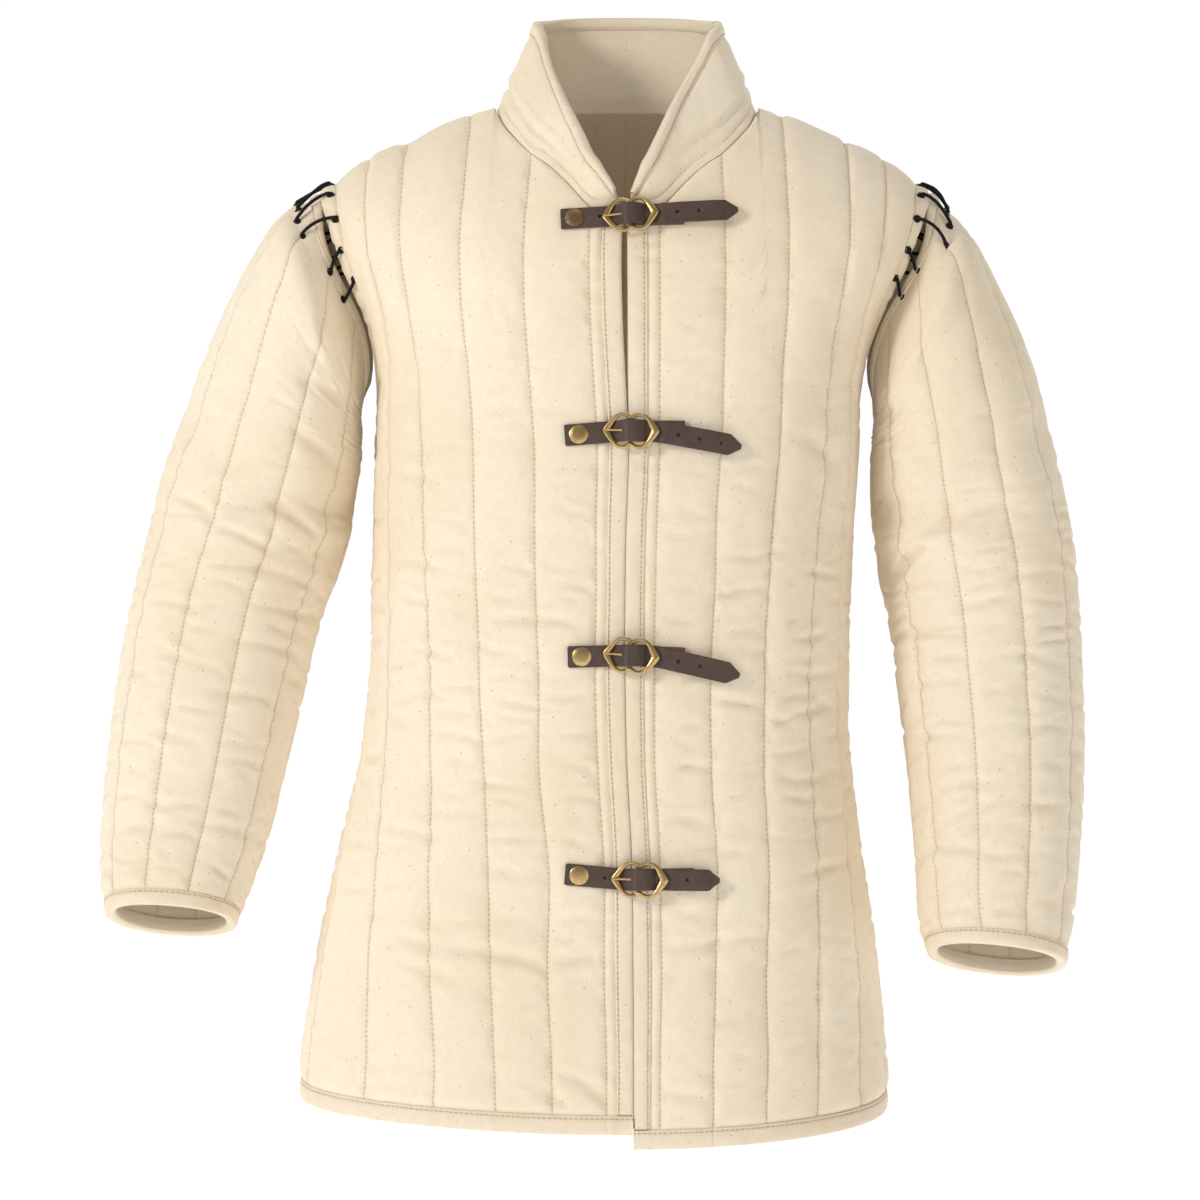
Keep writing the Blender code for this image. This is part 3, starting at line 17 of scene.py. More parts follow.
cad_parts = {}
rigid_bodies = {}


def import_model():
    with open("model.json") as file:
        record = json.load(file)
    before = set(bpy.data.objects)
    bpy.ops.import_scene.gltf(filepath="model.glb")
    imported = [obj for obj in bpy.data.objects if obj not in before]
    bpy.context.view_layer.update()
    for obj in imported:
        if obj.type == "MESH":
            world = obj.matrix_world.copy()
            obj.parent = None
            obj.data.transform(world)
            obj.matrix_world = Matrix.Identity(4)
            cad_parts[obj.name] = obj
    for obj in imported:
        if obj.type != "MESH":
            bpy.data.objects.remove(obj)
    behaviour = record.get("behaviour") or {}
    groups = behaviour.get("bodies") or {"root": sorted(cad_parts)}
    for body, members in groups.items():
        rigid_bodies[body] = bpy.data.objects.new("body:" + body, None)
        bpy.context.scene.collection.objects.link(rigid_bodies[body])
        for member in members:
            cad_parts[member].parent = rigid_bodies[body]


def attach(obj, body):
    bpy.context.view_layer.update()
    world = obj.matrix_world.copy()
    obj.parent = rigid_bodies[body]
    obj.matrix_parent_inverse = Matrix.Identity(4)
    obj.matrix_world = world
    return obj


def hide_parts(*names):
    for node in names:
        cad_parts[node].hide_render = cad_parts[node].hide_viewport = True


bl_info = {
    "name": "Quilted jacket",
    "version": (1, 0, 0),
    "blender": (4, 5, 0),
    "location": "3D View > Sidebar > Jacket",
    "description": "Builds a quilted arming jacket with laced sleeves and buckled straps",
    "category": "Object",
}

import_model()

# Cloth
WALL = 0.0085             # padded cloth, between two lines of stitching
STITCH_DIP = 0.0035       # how much thinner it is along a line
EDGE_DIP = 0.0035         # how much thinner it is at a cut edge
SEAM_GAP = 0.0003         # between two pieces that are sewn together
TAPE_GAP = 0.0004         # between the cloth and the tape that binds its edge
BINDING = 0.0013          # thickness of the binding tape
BINDING_WIDTH = 0.013
CUFF_BINDING_WIDTH = 0.010
HEAD_BINDING_WIDTH = 0.008

# Body
FIRST_LINE = 0.022        # from the front edge to the first stitched line
LINE_PITCH = 0.049
CHANNELS = 6              # channels from the front edge to the side seam
SECTION_POWER = 2.5       # squareness of a body section
SHOULDER_START = -0.150   # above this height the chest rounds over to the shoulder seam
SHOULDER_POWER = 2.2
ARMHOLE_TOP_RADIUS = 0.245
UNDERARM_Z = -0.232
COLLAR_CENTRE_X = 0.0055
LOWER_ROWS = 184          # from above the hem's binding to the underarm
UPPER_ROWS = 64           # from the underarm to the neckline or the shoulder seam
FIRST_ROW = 0.0155        # height of the first row above the hem's binding
BEND_SHARE = 0.58         # columns further round than this lean in to follow the armhole
BODY_MIDDLE = (0.0, 0.0, -0.45)
ARC_STEPS = 181           # points by which the length of an arc up the body is measured
HALVINGS = 40             # steps of each search by halving

BodySection = namedtuple("BodySection", "z centre half_width front back pitch front_edge half_opening")
BODY = [BodySection(*row) for row in (
    (-0.810, -0.0197, 0.2370, 0.150, 0.142, 0.0410, 0.0112, 0.0021),
    (-0.740, -0.0188, 0.2335, 0.150, 0.141, 0.0415, 0.0112, 0.0021),
    (-0.668, -0.0170, 0.2238, 0.149, 0.138, 0.0425, 0.0108, 0.0021),
    (-0.588, -0.0144, 0.2096, 0.147, 0.131, 0.0435, 0.0100, 0.0021),
    (-0.508, -0.0100, 0.1956, 0.145, 0.122, 0.0445, 0.0060, 0.0021),
    (-0.428, -0.0066, 0.1914, 0.143, 0.116, 0.0455, 0.0046, 0.0021),
    (-0.348, -0.0047, 0.1923, 0.139, 0.116, 0.0470, 0.0052, 0.0021),
    (-0.268, -0.0010, 0.1935, 0.134, 0.120, 0.0490, 0.0076, 0.0022),
    (-0.215, 0.0010, 0.1945, 0.130, 0.123, 0.0500, 0.0060, 0.0032),
    (-0.165, 0.0030, 0.2080, 0.126, 0.126, 0.0510, 0.0048, 0.0042),
    (-0.115, 0.0050, 0.2380, 0.121, 0.126, 0.0510, 0.0044, 0.0044),
    (-0.060, 0.0060, 0.2660, 0.115, 0.122, 0.0500, 0.0055, 0.0030),
    (0.010, 0.0070, 0.2760, 0.105, 0.112, 0.0490, 0.0060, 0.0030),
    (0.060, 0.0075, 0.2800, 0.098, 0.104, 0.0490, 0.0060, 0.0030),
)]

ShoulderPoint = namedtuple("ShoulderPoint", "radius z")
SHOULDER = [ShoulderPoint(*row) for row in (
    (0.000, 0.036), (0.050, 0.027), (0.105, 0.005),
    (0.125, 0.000), (0.165, -0.017), (0.206, -0.035),
    (0.230, -0.052), (0.247, -0.0625), (0.280, -0.092),
)]

NeckPoint = namedtuple("NeckPoint", "radius front_z back_z")
NECKLINE = [NeckPoint(*row) for row in (
    (0.000, -0.0845, 0.0125), (0.026, -0.0850, 0.0120),
    (0.045, -0.0650, 0.0110), (0.060, -0.0500, 0.0100),
    (0.075, -0.0390, 0.0085), (0.089, -0.0240, 0.0065),
    (0.099, -0.0100, 0.0050), (0.105, 0.0050, 0.0050),
)]

HemPoint = namedtuple("HemPoint", "middle side")
HEM = {
    "front_right": HemPoint(-0.7935, -0.7785),
    "front_left": HemPoint(-0.8045, -0.7865),
    "back": HemPoint(-0.7900, -0.7825),
}

# Collar: where its lower edge meets the neckline, and where its free edge stands
CollarPoint = namedtuple("CollarPoint", "base_radius face top_radius top_y top_z shift")
COLLAR = [CollarPoint(*row) for row in (
    (0.0018, "front", 0.0060, -0.1125, -0.0765, -0.0010),
    (0.0120, "front", 0.0140, -0.1130, -0.0600, -0.0025),
    (0.0260, "front", 0.0260, -0.1060, -0.0420, -0.0045),
    (0.0420, "front", 0.0365, -0.0900, -0.0180, -0.0045),
    (0.0570, "front", 0.0460, -0.0700, 0.0050, -0.0045),
    (0.0720, "front", 0.0550, -0.0520, 0.0260, -0.0030),
    (0.0860, "front", 0.0625, -0.0380, 0.0450, -0.0010),
    (0.0960, "front", 0.0680, -0.0250, 0.0610, 0.0010),
    (0.1035, "front", 0.0735, -0.0060, 0.0700, 0.0020),
    (0.1000, "back", 0.0740, 0.0180, 0.0760, 0.0020),
    (0.0850, "back", 0.0640, 0.0420, 0.0800, 0.0010),
    (0.0620, "back", 0.0470, 0.0580, 0.0830, 0.0000),
    (0.0320, "back", 0.0250, 0.0660, 0.0845, 0.0000),
    (0.0000, "back", 0.0000, 0.0680, 0.0850, 0.0000),
)]
COLLAR_EDGE = 0.009
COLLAR_BULGE = 0.002
COLLAR_WALL = 0.0055

# Sleeves: outer and inner point of each section, as seen from the front
SleeveSection = namedtuple("SleeveSection", "outer_x outer_z inner_x inner_z centre_y half_depth")
SLEEVES = {name: [SleeveSection(*row) for row in rows] for name, rows in {
    "right": (
        (0.2700, -0.0815, 0.2050, -0.2410, 0.003, 0.0800),
        (0.3000, -0.1280, 0.2045, -0.2520, 0.002, 0.0830),
        (0.3280, -0.1880, 0.2045, -0.2640, 0.001, 0.0830),
        (0.3430, -0.2280, 0.2050, -0.2800, 0.000, 0.0810),
        (0.3625, -0.2830, 0.2105, -0.3200, -0.002, 0.0800),
        (0.3735, -0.3280, 0.2185, -0.3570, -0.005, 0.0790),
        (0.3855, -0.3800, 0.2355, -0.4020, -0.011, 0.0760),
        (0.3945, -0.4320, 0.2470, -0.4520, -0.022, 0.0730),
        (0.4010, -0.4900, 0.2600, -0.5120, -0.037, 0.0690),
        (0.4055, -0.5500, 0.2740, -0.5720, -0.053, 0.0630),
        (0.4055, -0.6050, 0.2900, -0.6210, -0.068, 0.0570),
        (0.4010, -0.6330, 0.2970, -0.6400, -0.076, 0.0530),
    ),
    "left": (
        (0.2815, -0.0960, 0.2040, -0.2420, 0.003, 0.0800),
        (0.3055, -0.1400, 0.2030, -0.2530, 0.002, 0.0830),
        (0.3270, -0.1880, 0.2020, -0.2640, 0.001, 0.0830),
        (0.3415, -0.2360, 0.2015, -0.2790, 0.000, 0.0810),
        (0.3545, -0.2930, 0.2015, -0.3190, -0.002, 0.0800),
        (0.3640, -0.3450, 0.2070, -0.3660, -0.005, 0.0790),
        (0.3680, -0.3980, 0.2165, -0.4140, -0.011, 0.0760),
        (0.3690, -0.4470, 0.2215, -0.4590, -0.020, 0.0730),
        (0.3690, -0.5080, 0.2280, -0.5180, -0.034, 0.0690),
        (0.3640, -0.5750, 0.2325, -0.5830, -0.051, 0.0640),
        (0.3565, -0.6350, 0.2345, -0.6370, -0.066, 0.0590),
        (0.3500, -0.6730, 0.2400, -0.6610, -0.076, 0.0550),
    ),
}.items()}
SLEEVE_POWER = 2.15
SLEEVE_CHANNELS = 10
SLEEVE_WALL = 0.0080
SLEEVE_STITCH_DIP = 0.0030
SLEEVE_TOP_GAP = 0.0033   # between body and sleeve where the lace pulls them together
SLEEVE_UNDERARM_GAP = 0.0095
SLEEVE_SIDE_CLOSE = 0.0034  # how much closer they are at the front and the back
ElbowCrease = namedtuple("ElbowCrease", "place turn reach slant width depth")
ELBOW_CREASES = [ElbowCrease(*row) for row in (
    (5.2, 120.0, 55.0, -0.25, 0.40, 0.0070),
    (4.5, 60.0, 45.0, 0.30, 0.35, 0.0040),
    (6.1, 140.0, 40.0, -0.20, 0.35, 0.0045),
)]

# Lacing
LACE_RADIUS = 0.0014
LACE_BARS = 10
LACE_PITCH = 0.0235
BODY_EYELET_INSET = 0.011
SLEEVE_EYELET_INSET = 0.020
LACE_SLANT = 0.012        # how far the sleeve's end of a bar lies ahead of the body's
LACE_CLEAR = 0.001        # between the cloth and the lace at the mouth of an eyelet
LACE_ROOM = 0.0024        # from the cloth to the middle of the lace where it crosses
LACE_SAMPLES = 25         # places looked at along a bar
LACE_LOOK = 0.025         # how far off the cloth the search for it starts
LACE_ASIDE = 0.004        # how far beside a bar the lace crosses underneath
LACE_STEP = 0.002         # closest that two bends of the lace come
LACE_BEND_POINTS = 13     # points along a slack bar
# How far each bar hangs sideways, as a share of its length
LACE_BOWS = (0.01, 0.06, 0.14, 0.15, 0.15, 0.12, 0.10, 0.10, 0.06, 0.02)
EYELET_SIDES = 20
EYELET_DEPTH = WALL - 0.001
# Radius and height of the ring's section, from its mouth to its rim
EYELET_PROFILE = ((0.0018, 0.0001), (0.0019, 0.0009), (0.0023, 0.0014), (0.0029, 0.0012), (0.0034, -0.0008))

# Straps: the buckle's bar, and how far and how steeply each end runs
Strap = namedtuple("Strap", "bar_x bar_z left left_rise tail tail_rise tilt")
STRAPS = {key: Strap(*row) for key, row in {
    "1": (0.0089, -0.0931, 0.0535, -0.002, 0.0825, 0.0050, 4.0),
    "2": (0.0092, -0.2593, 0.0505, -0.003, 0.0840, -0.0115, -2.0),
    "3": (0.0091, -0.4305, 0.0480, -0.001, 0.0825, -0.0150, -5.0),
    "4": (0.0155, -0.6005, 0.0565, 0.004, 0.0610, -0.0010, -2.0),
}.items()}
LEATHER = 0.0022
CHAPE_LEATHER = 0.0013
STRAP_WIDTH = 0.0165
TAIL_POINT = 0.009
HOLE_RADIUS = 0.0017
HOLE_PITCH = 0.0165
FRAME_HALF_LENGTH = 0.0200
FRAME_WIRE = 0.0012
BAR_RADIUS = 0.0013
PRONG_WIRE = 0.0007
RIVET_RADIUS = 0.0072
RIVET_INSET = 0.0105      # from the strap's square end
CHAPE_RIVET_RADIUS = 0.0058
RIVET_HEIGHT = 0.0013
CLEAR = 0.0003
FRAME_LEFT_HEIGHT = LEATHER + 2 * CLEAR + FRAME_WIRE
FRAME_RIGHT_HEIGHT = 2 * CHAPE_LEATHER + LEATHER + 8 * CLEAR + FRAME_WIRE
BAR_HALF = 0.0102
BAR_HEIGHT = (FRAME_LEFT_HEIGHT + FRAME_RIGHT_HEIGHT) / 2
CHAPE_LENGTH = 0.0410
CHAPE_WIDTH = 0.0160
CHAPE_RIVET = 0.0330
TAIL_TIP = 0.22           # width of the strap's blunt tip, as a share of the strap's
CUTTER_SIDES, CUTTER_SHARE = 16, 0.85   # the cutter of a hole, and its share of the hole
HOLE_SHADE_SIDES, HOLE_SHADE_SHARE = 12, 0.78   # the dark disc that stands for the shade at the bottom of a hole, and its share of the hole
HOLE_SHADE_DEPTHS = (-0.0006, -0.0003)
# How much each chape leans up along its length, beside its strap
CHAPE_LEANS = {"1": -0.030, "2": 0.045, "3": 0.045, "4": 0.045}
PRONG_DEGREES = (-150, -110, -70, -30, 10, 50, 90)
CHAPE_DEGREES = (-75, -110, -145, -180, -215, -250)
# Sections, as shares of half the width and of the thickness
STRIP_SECTION = ((-1.0, 0.25), (-0.96, 0.0), (-0.4, 0.0), (0.4, 0.0), (0.96, 0.0), (1.0, 0.25),
                 (1.0, 0.75), (0.95, 0.98), (0.4, 1.05), (-0.4, 1.05), (-0.95, 0.98), (-1.0, 0.75))
CHAPE_SECTION = ((-1.0, -0.6), (-0.95, -1.0), (0.95, -1.0), (1.0, -0.6), (1.0, 0.6), (0.95, 1.0),
                 (-0.95, 1.0), (-1.0, 0.6))
# A quarter of the double heart, from the middle of its waist to its tip
BUCKLE_QUARTER = ((0.0, 0.0098), (0.0012, 0.0107), (0.0032, 0.0119), (0.0058, 0.0125), (0.0085, 0.0122),
                  (0.0112, 0.0108), (0.0140, 0.0083), (0.0165, 0.0053), (0.0186, 0.0026), (0.0202, 0.0))
BUCKLE_POINTS, BUCKLE_SIDES, BAR_SIDES = 96, 12, 14     # round the frame, its section and the bar
# The rivet's cap: shares of its radius and of its height
RIVET_PROFILE = ((0.96, 0.0), (1.0, 0.12), (1.0, 0.30), (0.95, 0.45), (0.88, 0.50), (0.80, 0.66),
                 (0.64, 0.84), (0.44, 0.95), (0.20, 1.0))
RIVET_SIDES = 36

# Colours and finishes
WEAVE_TURNS = 5200.0      # radians of the weave's wave in a metre
COTTON = (0.83, 0.73, 0.58)
TAPE = (0.80, 0.70, 0.55)
BROWN_LEATHER = (0.055, 0.032, 0.024)
CHAPE_BROWN = (0.105, 0.050, 0.028)
BLACK_CORD = (0.012, 0.011, 0.011)
BRIGHT_BRASS = (0.56, 0.39, 0.18)
DARK_BRASS = (0.26, 0.17, 0.085)

# Studio
CAMERA_PLACE = (-0.0144, -3.0, -0.388)
LENS, SENSOR = 112.5, 36.0
FLOOR_HALF = 30.0
LAMP_AIM = (0.0, 0.0, -0.35)
LAMPS = (   # name, place, size, power, colour
    ("key", (-2.3, -2.0, 0.75), 0.9, 47.0, (1.0, 0.98, 0.95)),
    ("fill", (2.2, -2.4, -0.1), 1.8, 11.0, (1.0, 0.93, 0.84)),
    ("top", (0.0, -0.6, 2.2), 1.2, 12.0, (1.0, 1.0, 1.0)),
    ("rear", (0.9, 2.6, 0.8), 1.6, 14.0, (1.0, 1.0, 1.0)),
)

# Fine cloth
SIDES = {"right": -1, "left": 1}
# Columns on each side of a line of stitching
LINE_OFFSETS = (0.0009, 0.0022, 0.0042, 0.0072, 0.0112, 0.0162, 0.0205)
CUSP = 0.0032             # how quickly the cloth rises beside a line of stitching
EDGE_CUSP = 0.004         # the same beside a bound edge
LINE_WANDER = 0.0022      # how far a line of stitching strays
PUCKER_PITCH = 0.0062     # from one pucker to the next along a line
PUCKER_REACH = 0.0075     # how far a pucker reaches from its line
SWELL, SWELL_PITCH = 0.18, 0.03             # unevenness of the channels' depth, and along how far
LUMP_ACROSS, LUMP_ALONG = 0.018, 0.022      # size of an uneven patch of the padding
TORSO_LUMP, SLEEVE_LUMP = 0.0010, 0.0011    # its height
WANDER_FADE = 0.12        # share of a panel over which the wander fades at its edges
THINNEST = 0.002          # cloth that is left under the deepest crease
TORSO_RISE, SLEEVE_RISE = 0.0015, 0.0018    # highest that creases lift the cloth
CORNER_DIP, CORNER_REACH = 0.0012, 0.010    # at the top of the shoulder seam
STRAP_CALM = 0.8          # how much flatter the cloth lies under a strap
TORSO_CREASES = (-0.77, -0.10, 0.026)       # lowest, highest and spacing of the small creases
SLEEVE_CREASES = (0.03, 0.60, 0.023)        # the same down a sleeve from its head
SLEEVE_ROWS = 228
SLEEVE_PLACES = (0.65, 11.35)               # first and last of those rows, counted in sections
DENSE_TURNS = 720         # points round each ring before the columns are placed on it
HEAD_PLACE = 3.4          # section above which the lines run straight up to the head
COLLAR_ROWS, COLLAR_COLUMNS = 30, 190
COLLAR_STITCH = 0.009     # from the neck seam up to the line of stitching along it
COLLAR_FOLD = 0.0215      # height of the fold at each side of the collar
ARM_RADIUS = 0.080
WRIST_TAPER = 0.026       # how much less the arm's radius is at the wrist
STITCH_LENGTH = 0.0040
STITCH_WIDTH = (0.00095, 0.00045)    # where a row of stitches fades out and where it is full
TAPE_FOLD = 1.35          # how far a tape stands off the cloth's edge, as a share of its thickness
HEAD_TAPE_FOLD = 1.2      # how much further it does at the front and back of a sleeve's head
# The tape's section: share of its width from its seam to the edge, and height over the cloth
TAPE_OUTSIDE = ((0.0, -0.4), (0.01, 0.6), (0.06, 1.0), (0.13, 0.95), (0.18, 0.62), (0.23, 0.95),
                (0.36, 1.15), (0.55, 1.25), (0.78, 1.2), (1.0, 1.05))
TAPE_INSIDE = ((1.0, 1.05), (0.5, 1.15), (0.06, 1.0), (0.0, -0.4))
TAPE_DEGREES = (25, 50, 75, 105, 130, 155)
TAPE_STITCH = 0.18        # share of the tape's width at which it is stitched down

# Creases that show from the front: a line from x0, z0 to x1, z1, in millimetres
Crease = namedtuple("Crease", "x0 z0 x1 z1 sag depth width")
CREASE_ROWS = {
    "front_right": (
        (-100, -404, -21, -405, 1.5, 1.7, 3.6), (-173, -643, -132, -656, -2.3, 1.6, 5.5),
        (-136, -655, -54, -664, 2.3, 2.2, 6), (-56, -664, -11, -655, -1.5, 1.8, 5),
        (-173, -664, -114, -682, 2.3, 1.2, 6), (-48, -745, -2, -778, 3.8, 1.6, 5.5),
        (-68, -758, -22, -786, 3.1, 1.3, 5), (-173, -357, -127, -367, 2.3, 1.3, 3.6),
        (-117, -419, -72, -430, -2.3, 1.2, 3.2), (-56, -375, -14, -382, 1.5, 1.2, 3.2),
        (-170, -425, -123, -435, 2.3, 1.4, 3.6), (-94, -464, -45, -470, -1.5, 1.2, 3.2),
        (-148, -489, -101, -498, 2.3, 1.3, 3.6), (-48, -510, -11, -508, 1.5, 1.1, 3.2),
        (-173, -457, -124, -466, 2.3, 1.2, 3.2), (-117, -524, -65, -531, -2.3, 1.2, 3.6),
        (-182, -388, -136, -393, 2.3, 1.1, 3.2), (-94, -362, -60, -368, 1.5, 1.1, 3),
        (-60, -437, -14, -443, 2.3, 1, 3), (-188, -563, -136, -573, 3.1, 1.2, 4.5),
        (-106, -591, -45, -595, -2.3, 1.1, 4.5), (-184, -289, -136, -300, 3.1, 1.1, 4.5),
        (-171, -182, -164, -251, 4.6, 1.6, 7), (-152, -159, -114, -251, 7.6, 1, 9),
    ),
    "front_left": (
        (30, -653, 109, -645, -2.3, 1.8, 4.5), (71, -711, 98, -708, 1.5, 1.3, 4),
        (74, -388, 117, -379, 2.3, 1.2, 3.4), (31, -402, 68, -410, 2.3, 1.2, 3.2),
        (127, -419, 173, -410, -2.3, 1.4, 3.6), (62, -464, 109, -471, 2.3, 1.2, 3.4),
        (120, -481, 170, -473, 2.3, 1.3, 3.6), (34, -509, 79, -517, -1.5, 1.2, 3.4),
        (114, -534, 176, -526, 2.3, 1.3, 4), (54, -579, 102, -575, -2.3, 1.2, 4.2),
        (137, -603, 185, -593, 2.3, 1.3, 4.5), (92, -357, 138, -351, 1.5, 1.1, 3.2),
        (138, -365, 176, -371, 1.5, 1.2, 3.4), (77, -426, 120, -430, 1.5, 1.1, 3.2),
        (143, -449, 175, -443, 1.5, 1.2, 3.4), (34, -556, 74, -562, 2.3, 1.1, 4),
        (37, -697, 62, -663, 4.6, 1.2, 6), (131, -258, 176, -289, 4.6, 1.3, 7),
        (31, -762, 74, -772, 3.1, 1.2, 5),
    ),
    "sleeve_right": (
        (-278, -310, -233, -342, 3.9, 3.2, 4.6), (-316, -329, -271, -350, 2.3, 2.4, 4.2),
        (-354, -302, -313, -328, 3.1, 1.8, 4.6), (-299, -361, -236, -380, 3.9, 2, 4.4),
        (-288, -393, -235, -405, 3.1, 1.8, 4), (-302, -419, -244, -435, 3.1, 1.6, 4),
        (-366, -388, -324, -397, 2.3, 1.1, 3.6), (-366, -427, -327, -438, 2.3, 1.1, 3.6),
        (-327, -458, -264, -471, 3.1, 1.3, 4), (-374, -490, -330, -496, 2.3, 1.1, 3.6),
        (-318, -510, -271, -519, 2.3, 1.2, 3.8), (-383, -544, -335, -549, 2.3, 1.1, 3.8),
        (-330, -560, -283, -572, 3.1, 1.2, 4), (-260, -255, -218, -286, 4.7, 1.6, 6),
        (-249, -216, -208, -240, 4.7, 1.4, 6),
    ),
    "sleeve_left": (
        (214, -380, 240, -342, 3.9, 2.8, 4.6), (229, -345, 273, -322, 3.1, 2.4, 4.4),
        (268, -323, 311, -311, 2.3, 1.6, 4.4), (214, -382, 258, -376, 3.1, 1.8, 4),
        (217, -419, 267, -410, 3.1, 1.6, 4), (222, -458, 275, -449, 3.1, 1.5, 4),
        (259, -396, 306, -388, 2.3, 1.2, 3.8), (306, -372, 350, -366, 2.3, 1.1, 3.8),
        (223, -499, 276, -493, 3.1, 1.4, 4), (298, -435, 347, -429, 2.3, 1.1, 3.8),
        (243, -536, 298, -530, 3.1, 1.4, 4), (306, -490, 353, -486, 2.3, 1.1, 3.8),
        (233, -583, 290, -580, 3.1, 1.3, 4.2), (298, -552, 350, -546, 2.3, 1.1, 4),
        (204, -255, 243, -286, 4.7, 1.6, 6), (198, -232, 225, -263, 3.9, 1.2, 6),
    ),
}
CREASES = {piece: [Crease(*(number / 1000 for number in row)) for row in rows]
           for piece, rows in CREASE_ROWS.items()}


def smooth(rows, key, field, at):
    """A column of a table at any place of its key column, by a cubic through the rows."""
    xs = np.array([getattr(row, key) for row in rows], float)
    ys = np.array([getattr(row, field) for row in rows], float)
    return cubic(xs, ys, at)


def cubic(xs, ys, at):
    """Smooth curve through points that stand at any distances from each other."""
    at = np.clip(np.asarray(at, float), xs[0], xs[-1])
    steps = np.diff(xs)
    rises = np.diff(ys) / steps
    slopes = np.concatenate([rises[:1], (rises[:-1] * steps[1:] + rises[1:] * steps[:-1])
                             / (steps[1:] + steps[:-1]), rises[-1:]])
    i = np.clip(np.searchsorted(xs, at, side="right") - 1, 0, len(steps) - 1)
    h = steps[i]
    t = (at - xs[i]) / h
    return ((1 + 2 * t) * (1 - t) ** 2 * ys[i] + t * (1 - t) ** 2 * h * slopes[i]
            + t * t * (3 - 2 * t) * ys[i + 1] + t * t * (t - 1) * h * slopes[i + 1])


def lengths_along(points, axis=0):
    """Distance of each point from the first one, along one way of a grid."""
    steps = np.linalg.norm(np.diff(points, axis=axis), axis=-1)
    start = np.zeros_like(np.take(steps, [0], axis=axis))
    return np.concatenate([start, np.cumsum(steps, axis=axis)], axis=axis)


def along_path(at, stations, points):
    """Places on a path whose own points lie at these stations."""
    return np.stack([np.interp(at, stations, column) for column in points.T], axis=-1)


def circle(count):
    """Angles of a ring's points."""
    return 2 * math.pi * np.arange(count) / count


def panel_name(face, side):
    return "back" if face == "back" else ("front_right" if side < 0 else "front_left")


def body(field, z):
    return smooth(BODY, "z", field, z)


def shoulder_z(radius):
    return smooth(SHOULDER, "radius", "z", radius)


def unit(vectors):
    return vectors / np.linalg.norm(vectors, axis=-1, keepdims=True)


def square_radius(s, c, power):
    """Radius of a rounded square at the angle with this sine and cosine."""
    return (np.abs(s) ** power + np.abs(c) ** power) ** (-1 / power)


def fall(share, power):
    """1 at share 0, falling off to 0 at share 1 as the side of a rounded square does."""
    return (1 - share ** power) ** (1 / power)


def section_angle(arc, width, depth):
    """Angle on a rounded-square section at which the arc from its middle has this length."""
    angles = np.linspace(0.0, math.pi / 2, 129)
    s, c = np.sin(angles), np.cos(angles)
    radius = square_radius(s, c, SECTION_POWER)
    xs = np.asarray(width)[..., None] * radius * s
    ys = np.asarray(depth)[..., None] * radius * c
    lengths = np.cumsum(np.hypot(np.diff(xs), np.diff(ys)), axis=-1)
    lengths = np.concatenate([np.zeros_like(lengths[..., :1]), lengths], axis=-1)
    flat_arc = np.clip(np.ravel(arc), 0.0, None)
    flat_lengths = lengths.reshape(-1, len(angles))
    found = [np.interp(a, row, angles) for a, row in zip(flat_arc, flat_lengths)]
    return np.reshape(found, np.shape(arc)), lengths[..., -1]


def section_point(angle, width, depth):
    s, c = np.sin(angle), np.cos(angle)
    radius = square_radius(s, c, SECTION_POWER)
    return width * radius * s, depth * radius * c


def shoulder_rounding(radius, z):
    top = shoulder_z(radius)
    share = np.clip((z - SHOULDER_START) / (top - SHOULDER_START), 0.0, 1.0)
    return fall(share, SHOULDER_POWER)


def body_place(face, side, u, z):
    """Radius from the body's middle and depth of the outer surface at share u of the way round."""
    u, z = np.broadcast_arrays(np.asarray(u, float), np.asarray(z, float))
    width, depth = body("half_width", z), body(face, z)
    if face == "front":
        start = side * (body("front_edge", z) - body("centre", z)) + body("half_opening", z)
        full = CHANNELS * body("pitch", z)
    else:
        start = np.zeros_like(z)
        full = CHANNELS * LINE_PITCH * np.ones_like(z)
    whole = section_angle(np.zeros_like(z), width, depth)[1] - start
    arc = start + full * u + (whole - full) * u ** 4
    angle = section_angle(np.abs(arc), width, depth)[0] * np.sign(arc)
    radius, y = section_point(angle, width, depth)
    return radius, y * shoulder_rounding(np.abs(radius), z)


def body_point(face, side, u, z):
    radius, depth = body_place(face, side, u, z)
    x = body("centre", z) + side * radius
    return np.stack([x, -depth if face == "front" else depth, np.broadcast_to(z, x.shape)], axis=-1)


def front_y(x, z):
    """Depth of the front's outer surface at a place seen from the front."""
    radius = abs(x - float(body("centre", z)))
    flat = fall(radius / float(body("half_width", z)), SECTION_POWER)
    return -float(body("front", z)) * flat * float(shoulder_rounding(radius, z))


@lru_cache(maxsize=None)
def top_of_column(face, side, u, armhole_start):
    """Height at which a column of the body ends, and on which edge."""
    if u > armhole_start:
        turn = math.acos(1 - (u - armhole_start) / (1 - armhole_start))
        return float(armhole_arc(face, side, turn)[1]), "armhole"
    low, high = SHOULDER_START, 0.03
    column = "front_z" if face == "front" else "back_z"
    for _ in range(HALVINGS):
        z = (low + high) / 2
        radius = abs(float(body_place(face, side, u, z)[0]))
        on_neck = radius < NECKLINE[-1].radius + 0.0005
        limit = float(smooth(NECKLINE, "radius", column, radius) if on_neck else shoulder_z(radius))
        low, high = (z, high) if z < limit else (low, z)
    return z, "neck" if on_neck else "shoulder"


def seam_share(face, side, z, radius, low, high):
    """Share of the way round at which the body has this radius, looked for between two shares."""
    for _ in range(HALVINGS):
        u = (low + high) / 2
        if float(body_place(face, side, u, z)[0]) < radius:
            low = u
        else:
            high = u
    return u


